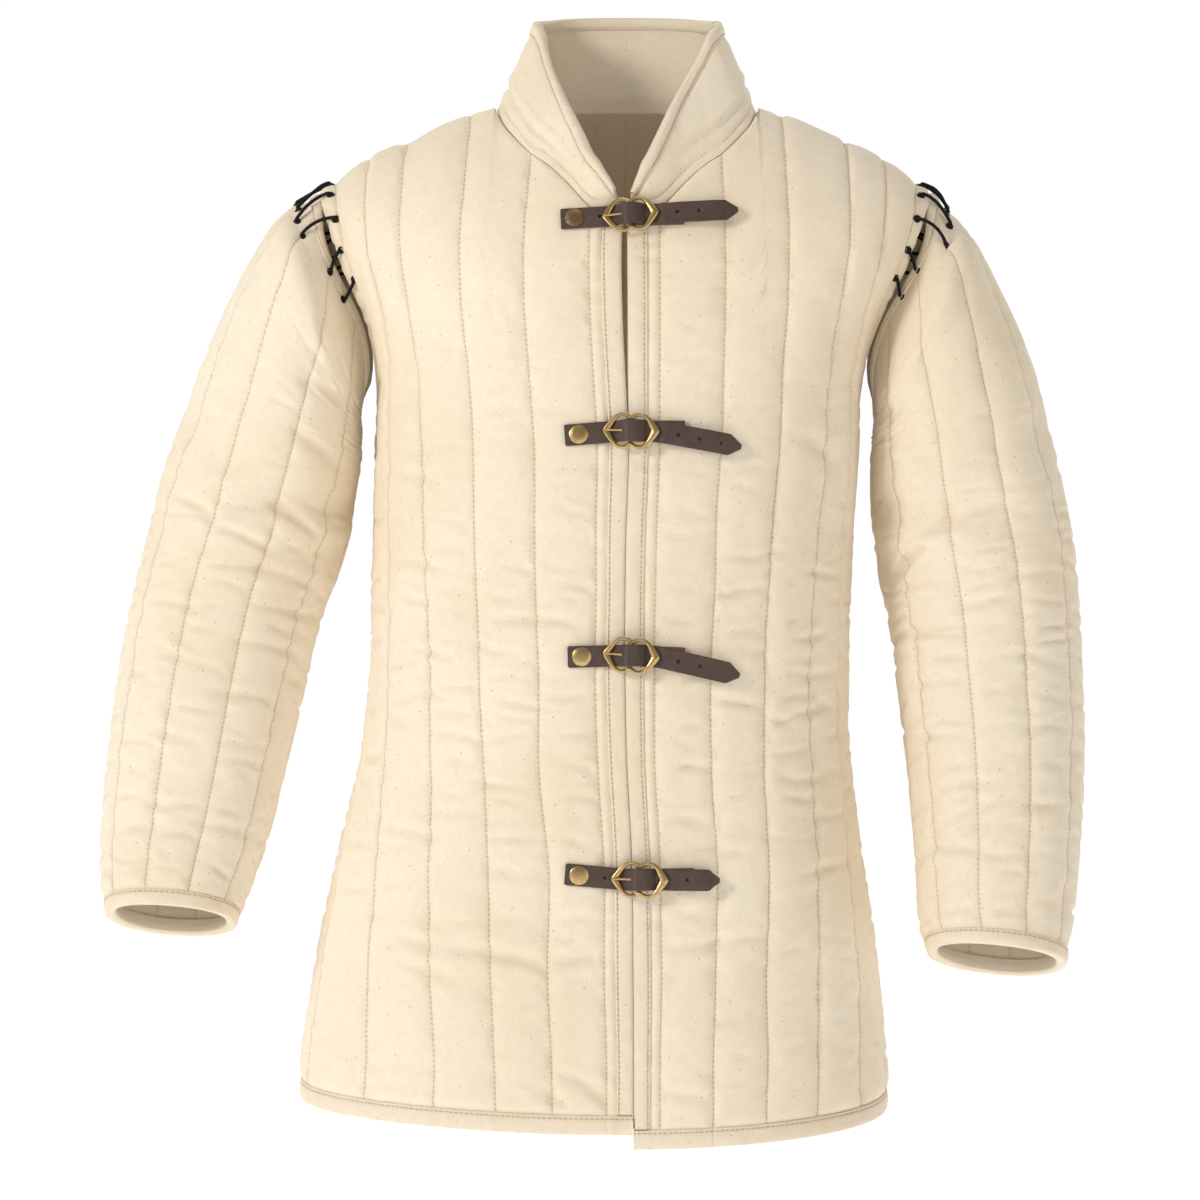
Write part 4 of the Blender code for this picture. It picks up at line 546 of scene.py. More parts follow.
@lru_cache(maxsize=None)
def armhole_share(face, side):
    """Share of the way round at which the shoulder seam meets the armhole."""
    return seam_share(face, side, float(shoulder_z(ARMHOLE_TOP_RADIUS)), ARMHOLE_TOP_RADIUS, 0.5, 1.0)


def armhole_arc(face, side, turn):
    """Share and height of the armhole's edge, from the shoulder to a quarter turn under the arm."""
    start = armhole_share(face, side)
    high = float(shoulder_z(ARMHOLE_TOP_RADIUS))
    return start + (1 - start) * (1 - np.cos(turn)), UNDERARM_Z + (high - UNDERARM_Z) * (1 - np.sin(turn))


@lru_cache(maxsize=None)
def neck_share(face, side):
    """Share of the way round at which the shoulder seam meets the collar."""
    return seam_share(face, side, NECKLINE[-1].front_z, NECKLINE[-1].radius, 0.1, 0.7)


def straight_column(face, side, u, bottom, top):
    """Heights of the rows up one column: even below the underarm, evenly spaced arcs above it."""
    lower = np.linspace(bottom + FIRST_ROW, UNDERARM_Z, LOWER_ROWS)
    turn = np.linspace(0.0, math.pi / 2, ARC_STEPS)
    zs = UNDERARM_Z + (top - UNDERARM_Z) * np.sin(turn)
    lengths = lengths_along(body_point(face, side, np.full_like(zs, u), zs))
    upper = np.interp(np.linspace(0, lengths[-1], UPPER_ROWS + 1)[1:], lengths, zs)
    return np.concatenate([[bottom, bottom + BINDING_WIDTH], lower, upper])


@lru_cache(maxsize=None)
def armhole_path(face, side):
    """Shares and heights of the rows up the armhole's edge, from under the arm to the shoulder."""
    us, zs = armhole_arc(face, side, np.linspace(math.pi / 2, 0.0, ARC_STEPS))
    lengths = lengths_along(body_point(face, side, us, zs))
    places = np.linspace(0, lengths[-1], UPPER_ROWS + 1)[1:]
    return np.interp(places, lengths, us), np.interp(places, lengths, zs)


def body_grid(face, side, shares):
    """Share and height of every point of a panel, and the kind of edge at each column's top."""
    start = armhole_share(face, side)
    hem = HEM[panel_name(face, side)]
    arm_us, arm_zs = armhole_path(face, side)
    all_us, all_zs, ends = [], [], []
    for u in shares:
        bottom = hem.middle + (hem.side - hem.middle) * u * u
        outward = max(0.0, (u - BEND_SHARE) / (1 - BEND_SHARE))
        top_u = min(u, BEND_SHARE) + outward * (start - BEND_SHARE)
        top, end = top_of_column(face, side, top_u, start)
        guide = straight_column(face, side, min(top_u, start), bottom, top)
        us = np.full(len(guide), u)
        if outward > 0:
            inner = straight_column(face, side, BEND_SHARE, bottom,
                                    top_of_column(face, side, BEND_SHARE, start)[0])
            upper = slice(-UPPER_ROWS, None)
            us[upper] = (1 - outward) * BEND_SHARE + outward * arm_us
            blend = (1 - outward) * inner[upper] + outward * arm_zs
            guide[upper] = UNDERARM_Z + (blend - UNDERARM_Z) * (top - UNDERARM_Z) / (blend[-1] - UNDERARM_Z)
        all_us.append(us)
        all_zs.append(guide)
        ends.append("armhole" if u == 1.0 else end)
    return np.array(all_us).T, np.array(all_zs).T, ends


def body_normals(face, side, us, zs):
    """Unit normals of the body's outer surface, from small steps round it and down it."""
    step = 1e-4
    ahead, behind = np.minimum(us + step, 1.0), us - step
    around = body_point(face, side, ahead, zs) - body_point(face, side, behind, zs)
    down = body_point(face, side, us, zs - step) - body_point(face, side, us, zs)
    normals = unit(np.cross(around, down))
    points = body_point(face, side, us, zs)
    flip = np.sum((points - BODY_MIDDLE) * normals, axis=-1, keepdims=True) < 0
    return np.where(flip, -normals, normals)


def grid_normals(points, outward):
    """Unit normals of a grid of points, turned to point away from a place inside."""
    along = np.gradient(points, axis=0)
    across = np.gradient(points, axis=1)
    normals = unit(np.cross(along, across))
    if np.sum((points - outward) * normals) < 0:
        normals = -normals
    return normals


def collar_rows(face):
    """The collar's points on one face, from the middle outwards, and their radii."""
    rows = sorted((row for row in COLLAR if row.face == face), key=lambda row: row.base_radius)
    return rows, np.array([row.base_radius for row in rows])


def collar_rise(face, side):
    """Direction in which the collar stands, by radius."""
    rows, radii = collar_rows(face)
    rises = np.array([unit(collar_top(row, side) - neck_point(row, side)) for row in rows])

    def rise(radius):
        radius = np.clip(radius, radii[0], radii[-1])
        return unit(along_path(radius, radii, rises))
    return rise


def neck_point(row, side):
    column = "front_z" if row.face == "front" else "back_z"
    z = float(smooth(NECKLINE, "radius", column, row.base_radius))
    width, depth = float(body("half_width", z)), float(body(row.face, z))
    flat = fall(row.base_radius / width, SECTION_POWER)
    y = depth * flat * float(shoulder_rounding(row.base_radius, z))
    return np.array([COLLAR_CENTRE_X + side * row.base_radius, -y if row.face == "front" else y, z])


def collar_top(row, side):
    return np.array([COLLAR_CENTRE_X + row.shift + side * row.top_radius, row.top_y, row.top_z])


def set_seam_normals(points, normals, ends, face, side):
    """At the side and shoulder seams the surface runs straight fore and aft."""
    flat = np.array([1.0, 0.0, 1.0])
    side_seam = slice(0, LOWER_ROWS + 2)
    normals[side_seam, -1] = unit(normals[side_seam, -1] * flat)
    for c in range(ends.count("neck") - 1, len(ends)):
        normals[-1, c] = shoulder_normal(points[-1, c], side)
    if face == "back":
        normals[:, 0] = unit(normals[:, 0] * np.array([0.0, 1.0, 1.0]))


def shoulder_normal(point, side):
    radius = abs(point[0] - float(body("centre", point[2])))
    step = 0.002
    slope = float(shoulder_z(radius + step) - shoulder_z(radius - step)) / (2 * step)
    return unit(np.array([-side * slope, 0.0, 1.0]))


def mitre_neck(outer, inner, normals, c, rise, corner):
    """Share the angle between the body and the collar along the neckline."""
    here = outer[-1, c]
    along = unit(outer[-1, c + 1] - here) if c < corner else np.array([0.0, 1.0, 0.0])
    radius = abs(here[0] - COLLAR_CENTRE_X)
    stand = np.cross(along, rise(radius))
    stand = unit(stand) * np.sign(np.dot(stand, normals[-1, c]))
    mitre = unit(normals[-1, c] + stand)
    depth = (WALL - EDGE_DIP) / max(np.dot(mitre, normals[-1, c]), 0.75)
    inner[-1, c] = here - mitre * depth


def trim_seams(outer, inner, ends, face):
    """Half the seam gap off each side of the side seam, the shoulder seam and the neckline."""
    ahead = -1 if face == "front" else 1
    for grid in (outer, inner):
        grid[:LOWER_ROWS + 2, -1, 1] += ahead * SEAM_GAP
        for c, end in enumerate(ends):
            if end == "neck":
                grid[-1, c] += unit(grid[-2, c] - grid[-1, c]) * SEAM_GAP
            if c >= ends.count("neck") - 1:
                grid[-1, c, 1] += ahead * SEAM_GAP


def collar_free_edge(face, side, base):
    rows, radii = collar_rows(face)
    tops = np.array([collar_top(row, side) for row in rows])
    return np.array([float(cubic(radii, column, abs(base[0] - COLLAR_CENTRE_X))) for column in tops.T])


def armhole_point(side, turn):
    """Point on the body's armhole edge; turn runs from the shoulder by the front to the back."""
    face = "front" if turn <= math.pi else "back"
    quarter = turn / 2 if face == "front" else math.pi - turn / 2
    return body_point(face, side, *armhole_arc(face, side, quarter))


def sleeve_head(side, turns):
    """Upper edge of a sleeve: close to the armhole above, standing off it under the arm."""
    points = []
    for turn in turns:
        low = (1 - math.cos(turn)) / 2
        out = unit(np.array([side * 1.0, 0.0, -0.75 * (1 - low) + 0.2 * low]))
        gap = SLEEVE_TOP_GAP + (SLEEVE_UNDERARM_GAP - SLEEVE_TOP_GAP) * low ** 4
        gap -= SLEEVE_SIDE_CLOSE * 4 * low * (1 - low)
        points.append(armhole_point(side, turn) + out * gap + np.array([0.0, 0.0, 0.009 * low ** 4]))
    return np.array(points)


def sleeve_rings(name, side, turns):
    """The sleeve's upper edge and its sections, each with a point for every turn."""
    sections = SLEEVES[name]
    centres = np.array([[side * (s.outer_x + s.inner_x) / 2, s.centre_y, (s.outer_z + s.inner_z) / 2]
                        for s in sections])
    axes = unit(np.gradient(centres, axis=0))
    rings = [sleeve_head(side, turns)]
    for section, centre, axis in zip(sections, centres, axes):
        across = np.array([side * (section.outer_x - section.inner_x) / 2, 0.0,
                           (section.outer_z - section.inner_z) / 2])
        fore = unit(np.cross(across, axis))
        fore = fore if fore[1] < 0 else -fore
        c, s = np.cos(turns), np.sin(turns)
        radius = square_radius(s, c, SLEEVE_POWER)
        rings.append(centre + across * (radius * c)[:, None]
                     + fore * section.half_depth * (radius * s)[:, None])
    return np.array(rings)


def sleeve_surface(name, side, turns, places):
    rings = sleeve_rings(name, side, turns)
    stations = np.arange(len(rings), dtype=float)
    flat = rings.reshape(len(rings), -1)
    made = np.array([cubic_rows(stations, flat, place) for place in places])
    return made.reshape(len(places), len(turns), 3)


def cubic_rows(xs, rows, at):
    """The same through whole rows, one apart from each other."""
    steps = np.diff(xs)[:, None]
    rises = np.diff(rows, axis=0) / steps
    slopes = np.concatenate([rises[:1], (rises[:-1] + rises[1:]) / 2, rises[-1:]])
    i = int(np.clip(math.floor(at), 0, len(xs) - 2))
    t = at - xs[i]
    return ((1 + 2 * t) * (1 - t) ** 2 * rows[i] + t * (1 - t) ** 2 * slopes[i]
            + t * t * (3 - 2 * t) * rows[i + 1] + t * t * (t - 1) * slopes[i + 1])


def elbow_dip(places, turns):
    dip = np.zeros((len(places), len(turns)))
    for crease in ELBOW_CREASES:
        away = (turns[None, :] - math.radians(crease.turn)) / math.radians(crease.reach)
        along = (places[:, None] - crease.place - crease.slant * away) / crease.width
        dip += crease.depth * np.exp(-along ** 2 - away ** 4)
    return dip


def taut(start, end, out, tree):
    """Cord pulled tight between two places over whatever lies between them, on the out side."""
    chord = end - start
    length = np.linalg.norm(chord)
    along = chord / length
    out = unit(out - along * np.dot(out, along))
    across = np.cross(along, out)
    rises, falls, top = 0.0, 0.0, 0.0
    for share in np.linspace(0.08, 0.92, LACE_SAMPLES):
        for sideways in (-LACE_RADIUS, 0.0, LACE_RADIUS):
            high = start + chord * share + across * sideways + out * LACE_LOOK
            hit, _, _, _ = tree.ray_cast(Vector(high), Vector(-out), 2 * LACE_LOOK)
            if hit:
                height = np.dot(np.array(hit) - start, out) + LACE_ROOM
                top = max(top, height)
                rises = max(rises, height / (share * length))
                falls = max(falls, height / ((1 - share) * length))
    if top == 0.0:
        return [start, end]
    bends = [(top / rises, top), (length - top / falls, top)]
    if bends[0][0] > bends[1][0] - LACE_STEP:
        middle = falls * length / (rises + falls)
        bends = [(middle, rises * middle)]
    return [start, *(start + along * a + out * h for a, h in bends), end]


def bowed(path, bow, out, tree):
    """The same cord, slack to one side, still lying over the cloth."""
    path = np.array(path)
    lengths = lengths_along(path)
    at = np.linspace(0, lengths[-1], LACE_BEND_POINTS)
    points = along_path(at, lengths, path)
    points += bow * np.sin(math.pi * at / lengths[-1])[:, None]
    lifted = []
    for place in points:
        hit, _, _, _ = tree.ray_cast(Vector(place + out * LACE_LOOK), Vector(-out), 2 * LACE_LOOK)
        below = np.dot(np.array(hit) - place, out) + LACE_ROOM if hit else 0.0
        lifted.append(max(0.0, below))
    lifted[0] = lifted[-1] = 0.0
    return list(points + out * np.array(lifted)[:, None])


class StrapFrame:
    """Place and directions of one buckle: along the strap, up, and out of the cloth."""

    def __init__(self, strap):
        step = 0.004
        x, z = strap.bar_x, strap.bar_z
        self.origin = np.array([x, front_y(x, z), z])
        across = unit(np.array([2 * step, front_y(x + step, z) - front_y(x - step, z), 0.0]))
        upward = unit(np.array([0.0, front_y(x, z + step) - front_y(x, z - step), 2 * step]))
        self.out = unit(np.cross(across, upward))
        self.along, self.up = across, unit(np.cross(self.out, across))
        self.tilt = math.radians(strap.tilt)

    def point(self, s, t, h, follow=True):
        """Local place: s along the strap, t up, h off the cloth, over the curve of the front."""
        place = self.origin + self.along * s + self.up * t
        drop = 0.0
        if follow:
            surface = np.array([place[0], front_y(place[0], place[2]), place[2]])
            drop = np.dot(surface - place, self.out)
        return place + self.out * (h + drop)

    def turned(self, s, t):
        """Turn a place of the rigid buckle by the strap's tilt."""
        c, d = math.cos(self.tilt), math.sin(self.tilt)
        return s * c - t * d, s * d + t * c


def strap_stations(strap):
    """Underside of the strap: flat, under the frame, over the bar, under the frame, free tail."""
    bar_top = BAR_HEIGHT + BAR_RADIUS + CHAPE_LEATHER + 3 * CLEAR
    lap = 2 * CHAPE_LEATHER + 4 * CLEAR
    over_rivet = lap + RIVET_HEIGHT + CLEAR
    half = FRAME_HALF_LENGTH
    profile = [
        (-strap.left, CLEAR), (-0.75 * strap.left, CLEAR), (-half - 0.004, CLEAR), (-half + 0.005, CLEAR),
        (-0.0115, 0.0014), (-0.0070, 0.0052), (-0.0030, bar_top), (0.0030, bar_top),
        (0.0075, 0.0068), (0.0112, lap + 0.0001), (half, lap), (half + 0.006, over_rivet),
        (0.0400, over_rivet), (0.6 * strap.tail + 0.4 * 0.04, over_rivet),
        (strap.tail - TAIL_POINT, over_rivet - 0.001), (strap.tail, over_rivet - 0.002),
    ]
    stations = []
    for s, h in profile:
        reach = abs(s) / (strap.tail if s > 0 else strap.left)
        rise = (strap.tail_rise if s > 0 else strap.left_rise) * max(0.0, reach - 0.2) / 0.8
        stations.append((s, rise, h))
    return stations


def hole_places(strap):
    places = [-strap.left + 0.030]
    s = 0.0360
    while s < strap.tail - 0.014:
        places.append(s)
        s += HOLE_PITCH
    return places


def around_bar(radius, turns):
    """Places round the buckle's bar at these angles in degrees."""
    return [(radius * math.cos(math.radians(turn)), BAR_HEIGHT + radius * math.sin(math.radians(turn)))
            for turn in turns]


def prong_places():
    """Prong: hooked round the bar, through the strap and onto the frame's left tip."""
    radius = BAR_RADIUS + CLEAR + PRONG_WIRE
    places = around_bar(radius, PRONG_DEGREES)
    tip = FRAME_LEFT_HEIGHT + FRAME_WIRE + CLEAR + PRONG_WIRE
    places += [(-0.006, BAR_HEIGHT + radius - 0.0004), (-FRAME_HALF_LENGTH + 0.002, tip),
               (-FRAME_HALF_LENGTH - 0.0012, tip)]
    return places


def chape_places():
    """Path of the chape's leather: along the cloth, round the bar and back over itself."""
    half = CHAPE_LEATHER / 2
    radius = BAR_RADIUS + CLEAR + half
    places = [(CHAPE_LENGTH, CLEAR + half), (0.0120, CLEAR + half),
              (0.0060, 0.0014 + half), (0.0030, 0.0028)]
    places += around_bar(radius, CHAPE_DEGREES)
    upper = 2 * CLEAR + 1.5 * CHAPE_LEATHER
    places += [(0.0020, BAR_HEIGHT + radius - 0.0004), (0.0070, 0.0046), (0.0120, upper + 0.0002),
               (0.0160, upper), (CHAPE_LENGTH, upper)]
    return places


def noise(seed, x, y):
    """Smooth uneven heights from -1 to 1 over a plane whose grid has a step of 1."""
    size = 256
    table = np.random.RandomState(seed).uniform(-1, 1, (size, size))
    x, y = np.broadcast_arrays(np.asarray(x, float), np.asarray(y, float))
    i, j = np.floor(x).astype(int), np.floor(y).astype(int)
    s, t = x - i, y - j
    s, t = s * s * (3 - 2 * s), t * t * (3 - 2 * t)
    low = table[i % size, j % size] * (1 - s) + table[(i + 1) % size, j % size] * s
    high = table[i % size, (j + 1) % size] * (1 - s) + table[(i + 1) % size, (j + 1) % size] * s
    return low * (1 - t) + high * t


def quilt(distance, half):
    """How deep the cloth lies at a distance from the nearest line of stitching."""
    rise = np.clip(1 - distance / half, 0, 1)
    return STITCH_DIP * (0.42 * np.exp(-distance / CUSP) + 0.58 * rise ** 2)


def crease_depth(creases, x, y):
    """Soft troughs with a lip on each side, along slightly bent lines over a plane."""
    total = np.zeros(np.broadcast(x, y).shape)
    for c in creases:
        dx, dy = c.x1 - c.x0, c.z1 - c.z0
        length = math.hypot(dx, dy)
        along = 2 * ((x - c.x0) * dx + (y - c.z0) * dy) / length ** 2 - 1
        fade = np.clip(1 - along * along, 0, 1)
        off = (((y - c.z0) * dx - (x - c.x0) * dy) / length - c.sag * fade) / c.width
        total += c.depth * fade * (np.exp(-off * off) - 0.5 * np.exp(-(np.abs(off) - 1.9) ** 2))
    return total


def broken_creases(seed, spans, low, high, spacing, strength):
    """Short, nearly level creases between lines of stitching, at uneven heights."""
    rng = np.random.RandomState(seed)
    rows = []
    for start, end in spans:
        y = low + rng.uniform(0, spacing)
        while y < high:
            a = start + (end - start) * rng.uniform(-0.05, 0.4)
            b = end - (end - start) * rng.uniform(-0.05, 0.4)
            rise = (b - a) * rng.uniform(-0.22, 0.22)
            depth = rng.uniform(0.35, 1.15) * 0.001 * strength(y)
            rows.append(Crease(a, y, b, y + rise, rng.uniform(-0.003, 0.003), depth,
                               rng.uniform(0.0024, 0.0042)))
            y += spacing * rng.uniform(0.4, 1.5)
    return rows


def torso_strength(z):
    """Creasing is strongest at the waist and fades towards the shoulders and the hem."""
    return 0.50 + 0.90 * math.exp(-((z + 0.48) / 0.16) ** 2)


def sleeve_strength(y):
    """Creasing is strongest from the elbow to the cuff."""
    return 0.5 + 0.95 / (1 + math.exp(-(y - 0.24) / 0.03))


def placed(name, data):
    """New object in the scene."""
    obj = bpy.data.objects.new(name, data)
    bpy.context.scene.collection.objects.link(obj)
    return obj


def grid_faces(rows, columns, closed=False):
    """Four-sided faces of a grid of points; closed joins the last column to the first."""
    r, c = np.meshgrid(np.arange(rows - 1), np.arange(columns if closed else columns - 1),
                       indexing="ij")
    d = (c + 1) % columns
    return np.stack([r * columns + c, r * columns + d, (r + 1) * columns + d,
                     (r + 1) * columns + c], axis=-1).reshape(-1, 4)


def add_mesh(name, vertices, faces, finish, maps=None, sharp=50.0, outward=None):
    """Mesh piece with its texture maps and finish, that goes with the jacket."""
    mesh = bpy.data.meshes.new(name)
    mesh.from_pydata(np.asarray(vertices, float).tolist(), [],
                     faces.tolist() if isinstance(faces, np.ndarray) else faces)
    corners = np.empty(len(mesh.loops), int)
    mesh.loops.foreach_get("vertex_index", corners)
    for label, values in (maps or {}).items():
        layer = mesh.uv_layers.new(name=label)
        layer.data.foreach_set("uv", np.asarray(values, np.float32)[corners].ravel())
    bm = bmesh.new()
    bm.from_mesh(mesh)
    bmesh.ops.recalc_face_normals(bm, faces=bm.faces)
    if outward is not None:
        bm.faces.ensure_lookup_table()
        if sum(face.normal.dot(Vector(outward)) for face in bm.faces) < 0:
            bmesh.ops.reverse_faces(bm, faces=bm.faces)
    bm.to_mesh(mesh)
    bm.free()
    mesh.shade_smooth()
    mesh.set_sharp_from_angle(angle=math.radians(sharp))
    mesh.materials.append(finish)
    obj = placed(name, mesh)
    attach(obj, "root")
    return obj


def shell(name, outer, inner, cloth_map, seam_map, finish, closed=False):
    """Closed cloth wall between two fine grids of points."""
    rows, columns = outer.shape[:2]
    count = rows * columns
    quads = grid_faces(rows, columns, closed)
    faces = [quads, quads + count]
    for r in (0, rows - 1):
        a = r * columns + np.arange(columns if closed else columns - 1)
        b = r * columns + (np.arange(len(a)) + 1) % columns
        faces.append(np.stack([a, b, b + count, a + count], axis=-1))
    if not closed:
        for c in (0, columns - 1):
            a = np.arange(rows - 1) * columns + c
            faces.append(np.stack([a, a + columns, a + columns + count, a + count], axis=-1))
    maps = {label: np.tile(values.reshape(-1, 2), (2, 1))
            for label, values in (("cloth", cloth_map), ("seam", seam_map))}
    vertices = np.concatenate([outer.reshape(-1, 3), inner.reshape(-1, 3)])
    return add_mesh(name, vertices, np.concatenate(faces), finish, maps, sharp=60.0)


def tube(name, rings, finish, maps=None, closed=False, sharp=50.0):
    """Closed solid through a row of rings with the same number of points each."""
    rings = np.array(rings)
    count, points = rings.shape[:2]
    if closed:
        faces = grid_faces(points, count, True)
        faces = faces % count * points + faces // count
        wrap = np.stack([np.arange(count) * points + points - 1,
                         (np.arange(count) + 1) % count * points + points - 1,
                         (np.arange(count) + 1) % count * points, np.arange(count) * points], axis=-1)
        faces = np.concatenate([faces, wrap]).tolist()
    else:
        faces = grid_faces(count, points, True).tolist()
        faces.append(list(range(points)))
        faces.append([(count - 1) * points + p for p in reversed(range(points))])
    return add_mesh(name, rings.reshape(-1, 3), faces, finish, maps, sharp)


def tape(name, edge, seam, finish, closed=False, seed=0, outward=None, fold=TAPE_FOLD):
    """Soft binding tape folded round an edge, with a line of stitching near its seam."""
    edge_outer, edge_inner, edge_normals = edge
    seam_outer, seam_inner, seam_normals = seam
    if closed:
        tangent = unit(np.roll(edge_outer, -1, axis=0) - np.roll(edge_outer, 1, axis=0))
    else:
        tangent = unit(np.gradient(edge_outer, axis=0))
    away = edge_outer - seam_outer
    width = np.linalg.norm(away, axis=1)
    away = unit(away - tangent * np.sum(away * tangent, axis=1, keepdims=True))
    far = TAPE_GAP + BINDING
    along = lengths_along(edge_outer)
    profile, across = [], []
    for share, height in TAPE_OUTSIDE:
        swell = 1 + 0.22 * noise(seed, along / 0.0075, share * 3.0)
        normals = unit(seam_normals * (1 - share) + edge_normals * share)
        profile.append(seam_outer + (edge_outer - seam_outer) * share
                       + normals * (far * height * swell)[:, None])
        across.append(share * width)
    middle = (edge_outer + edge_inner) / 2
    half = (edge_outer - edge_inner) / 2 + edge_normals * far
    for degrees in TAPE_DEGREES:
        turn = math.radians(degrees)
        reach = np.broadcast_to(far * fold * math.sin(turn), len(away))[:, None]
        profile.append(middle + half * math.cos(turn) + away * reach)
        across.append(width + 0.00012 * degrees)
    for share, height in TAPE_INSIDE:
        normals = unit(seam_normals * (1 - share) + edge_normals * share)
        profile.append(seam_inner + (edge_inner - seam_inner) * share - normals * far * height)
        across.append(width * (2 - share) + 0.012)
    profile, across = np.stack(profile, axis=1), np.stack(across, axis=1)
    rows, columns = profile.shape[:2]
    faces = grid_faces(rows, columns)
    if closed:
        last = (rows - 1) * columns + np.arange(columns - 1)
        first = np.arange(columns - 1)
        faces = np.concatenate([faces, np.stack([last, last + 1, first + 1, first], axis=-1)])
    along = np.broadcast_to(along[:, None], across.shape)
    off_stitch = np.abs(across - TAPE_STITCH * width[:, None])
    maps = {"cloth": np.stack([across, along], axis=-1).reshape(-1, 2),
            "seam": np.stack([off_stitch, along], axis=-1).reshape(-1, 2)}
    return add_mesh(name, profile.reshape(-1, 3), faces, finish, maps, 70.0, outward)


def line_shares(face):
    """Shares of the way round at which the lines of stitching stand."""
    first = FIRST_LINE if face == "front" else 0.0
    return [(first + k * LINE_PITCH) / (CHANNELS * LINE_PITCH) for k in range(CHANNELS)]


def fine_columns(face, side):
    """Shares of a panel's columns, closest together beside the lines of stitching."""
    full = CHANNELS * LINE_PITCH
    lines = line_shares(face) + [1.0]
    neck = neck_share(face, side)
    shares = {0.0, 1.0}
    for line in lines:
        shares.add(line)
        shares.update(line + sign * offset / full for offset in LINE_OFFSETS for sign in (-1, 1))
        shares.add(line + LINE_PITCH / 2 / full)
    tape_edge = BINDING_WIDTH / full
    if face == "front":
        shares = {s for s in shares if s > tape_edge + 0.001 or s == 0.0} | {tape_edge}
    shares = sorted(s for s in shares if 0.0 <= s <= 1.0 and abs(s - neck) > 0.0015)
    return np.array(sorted(shares + [neck]))


# Outer and inner points of one cut piece, what its edges are, and its two maps
Panel = namedtuple("Panel", "outer inner normals ends cloth_map seam_map")


def strap_shade(points):
    """1 under a strap, where the cloth lies flat, and 0 away from it."""
    cover = np.zeros(points.shape[:2])
    for strap in STRAPS.values():
        level = np.exp(-((points[..., 2] - strap.bar_z) / 0.017) ** 4)
        reach = np.exp(-((points[..., 0] - strap.bar_x - 0.012) / 0.085) ** 8)
        cover = np.maximum(cover, level * reach)
    return cover


def body_panel(face, side, settings):
    """One front or half of the back, with the relief of its quilting and creases."""
    shares = fine_columns(face, side)
    us, zs, ends = body_grid(face, side, shares)
    full = CHANNELS * LINE_PITCH
    seed = settings.seed + (10 if face == "back" else 0) + (5 if side > 0 else 0)
    calm = np.clip((UNDERARM_Z + 0.03 - zs) / 0.08, 0, 1) * np.clip((zs + 0.79) / 0.05, 0, 1)
    lines = np.array(line_shares(face) + [1.0])
    nearest = lines[np.abs(shares[:, None] - lines).argmin(axis=1)]
    edge_fade = np.clip(shares / WANDER_FADE, 0, 1) * np.clip((1 - shares) / WANDER_FADE, 0, 1)
    us = us + LINE_WANDER / full * noise(seed, shares * 5, zs / 0.075) * calm * edge_fade
    points = body_point(face, side, us, zs)
    normals = body_normals(face, side, us, zs)
    set_seam_normals(points, normals, ends, face, side)
    distance = np.abs(shares - nearest) * full
    stitched = np.broadcast_to(distance, zs.shape)
    if face == "front":
        distance = np.where(shares < (BINDING_WIDTH / full + lines[0]) / 2,
                            np.abs(shares - BINDING_WIDTH / full) * full, distance)
    distance = np.broadcast_to(distance, zs.shape)
    swell = 1 + SWELL * noise(seed + 1, shares * CHANNELS, zs / SWELL_PITCH)
    dip = quilt(distance, LINE_PITCH / 2) * swell
    ripple = noise(seed + 2, np.round(shares * CHANNELS), zs / PUCKER_PITCH)
    dip += settings.pucker * ripple * np.exp(-(distance / PUCKER_REACH) ** 2)
    dip += TORSO_LUMP * noise(seed + 3, shares * full / LUMP_ACROSS, zs / LUMP_ALONG)
    folds = crease_depth(CREASES.get(panel_name(face, side), ()), points[..., 0], zs)
    spans = list(zip(lines[:-1] * full, lines[1:] * full))
    small = broken_creases(seed + 4, spans, *TORSO_CREASES, torso_strength)
    folds += crease_depth(small, us * full, zs)
    flat = strap_shade(points) if face == "front" else np.zeros(zs.shape)
    dip += settings.wrinkle * folds * (1 - STRAP_CALM * flat)
    dip = np.where(flat > 0.3, np.maximum(dip, 0.0002), dip)
    if face == "front":
        dip = np.where(shares < BINDING_WIDTH / full + 0.002, np.maximum(dip, EDGE_DIP), dip)
    corner = np.linalg.norm(points - points[-1, ends.count("neck") - 1], axis=-1)
    dip = np.maximum(dip, (EDGE_DIP + CORNER_DIP) * np.exp(-(corner / CORNER_REACH) ** 2))
    up = lengths_along(points)
    to_top, above_hem = up[-1] - up, up - BINDING_WIDTH
    dip = np.maximum(dip, EDGE_DIP * np.exp(-to_top / EDGE_CUSP))
    dip = np.maximum(dip, EDGE_DIP * np.exp(-np.maximum(above_hem, 0) / EDGE_CUSP))
    dip[:2] = np.maximum(dip[:2], EDGE_DIP)
    dip[-1] = EDGE_DIP
    dip = np.clip(dip, -TORSO_RISE, WALL - THINNEST)
    outer = points - normals * dip[..., None]
    inner = points - normals * WALL
    rise = collar_rise(face, side)
    for c in range(ends.count("neck")):
        mitre_neck(outer, inner, normals, c, rise, ends.count("neck") - 1)
    trim_seams(outer, inner, ends, face)
    across = np.broadcast_to(shares * full, zs.shape)
    cloth_map = np.stack([across * side, zs], axis=-1)
    seam_map = np.stack([stitched, zs], axis=-1)
    return Panel(outer, inner, normals, ends, cloth_map, seam_map)


def rows_of(panel, row):
    return [grid[row].copy() for grid in (panel.outer, panel.inner, panel.normals)]


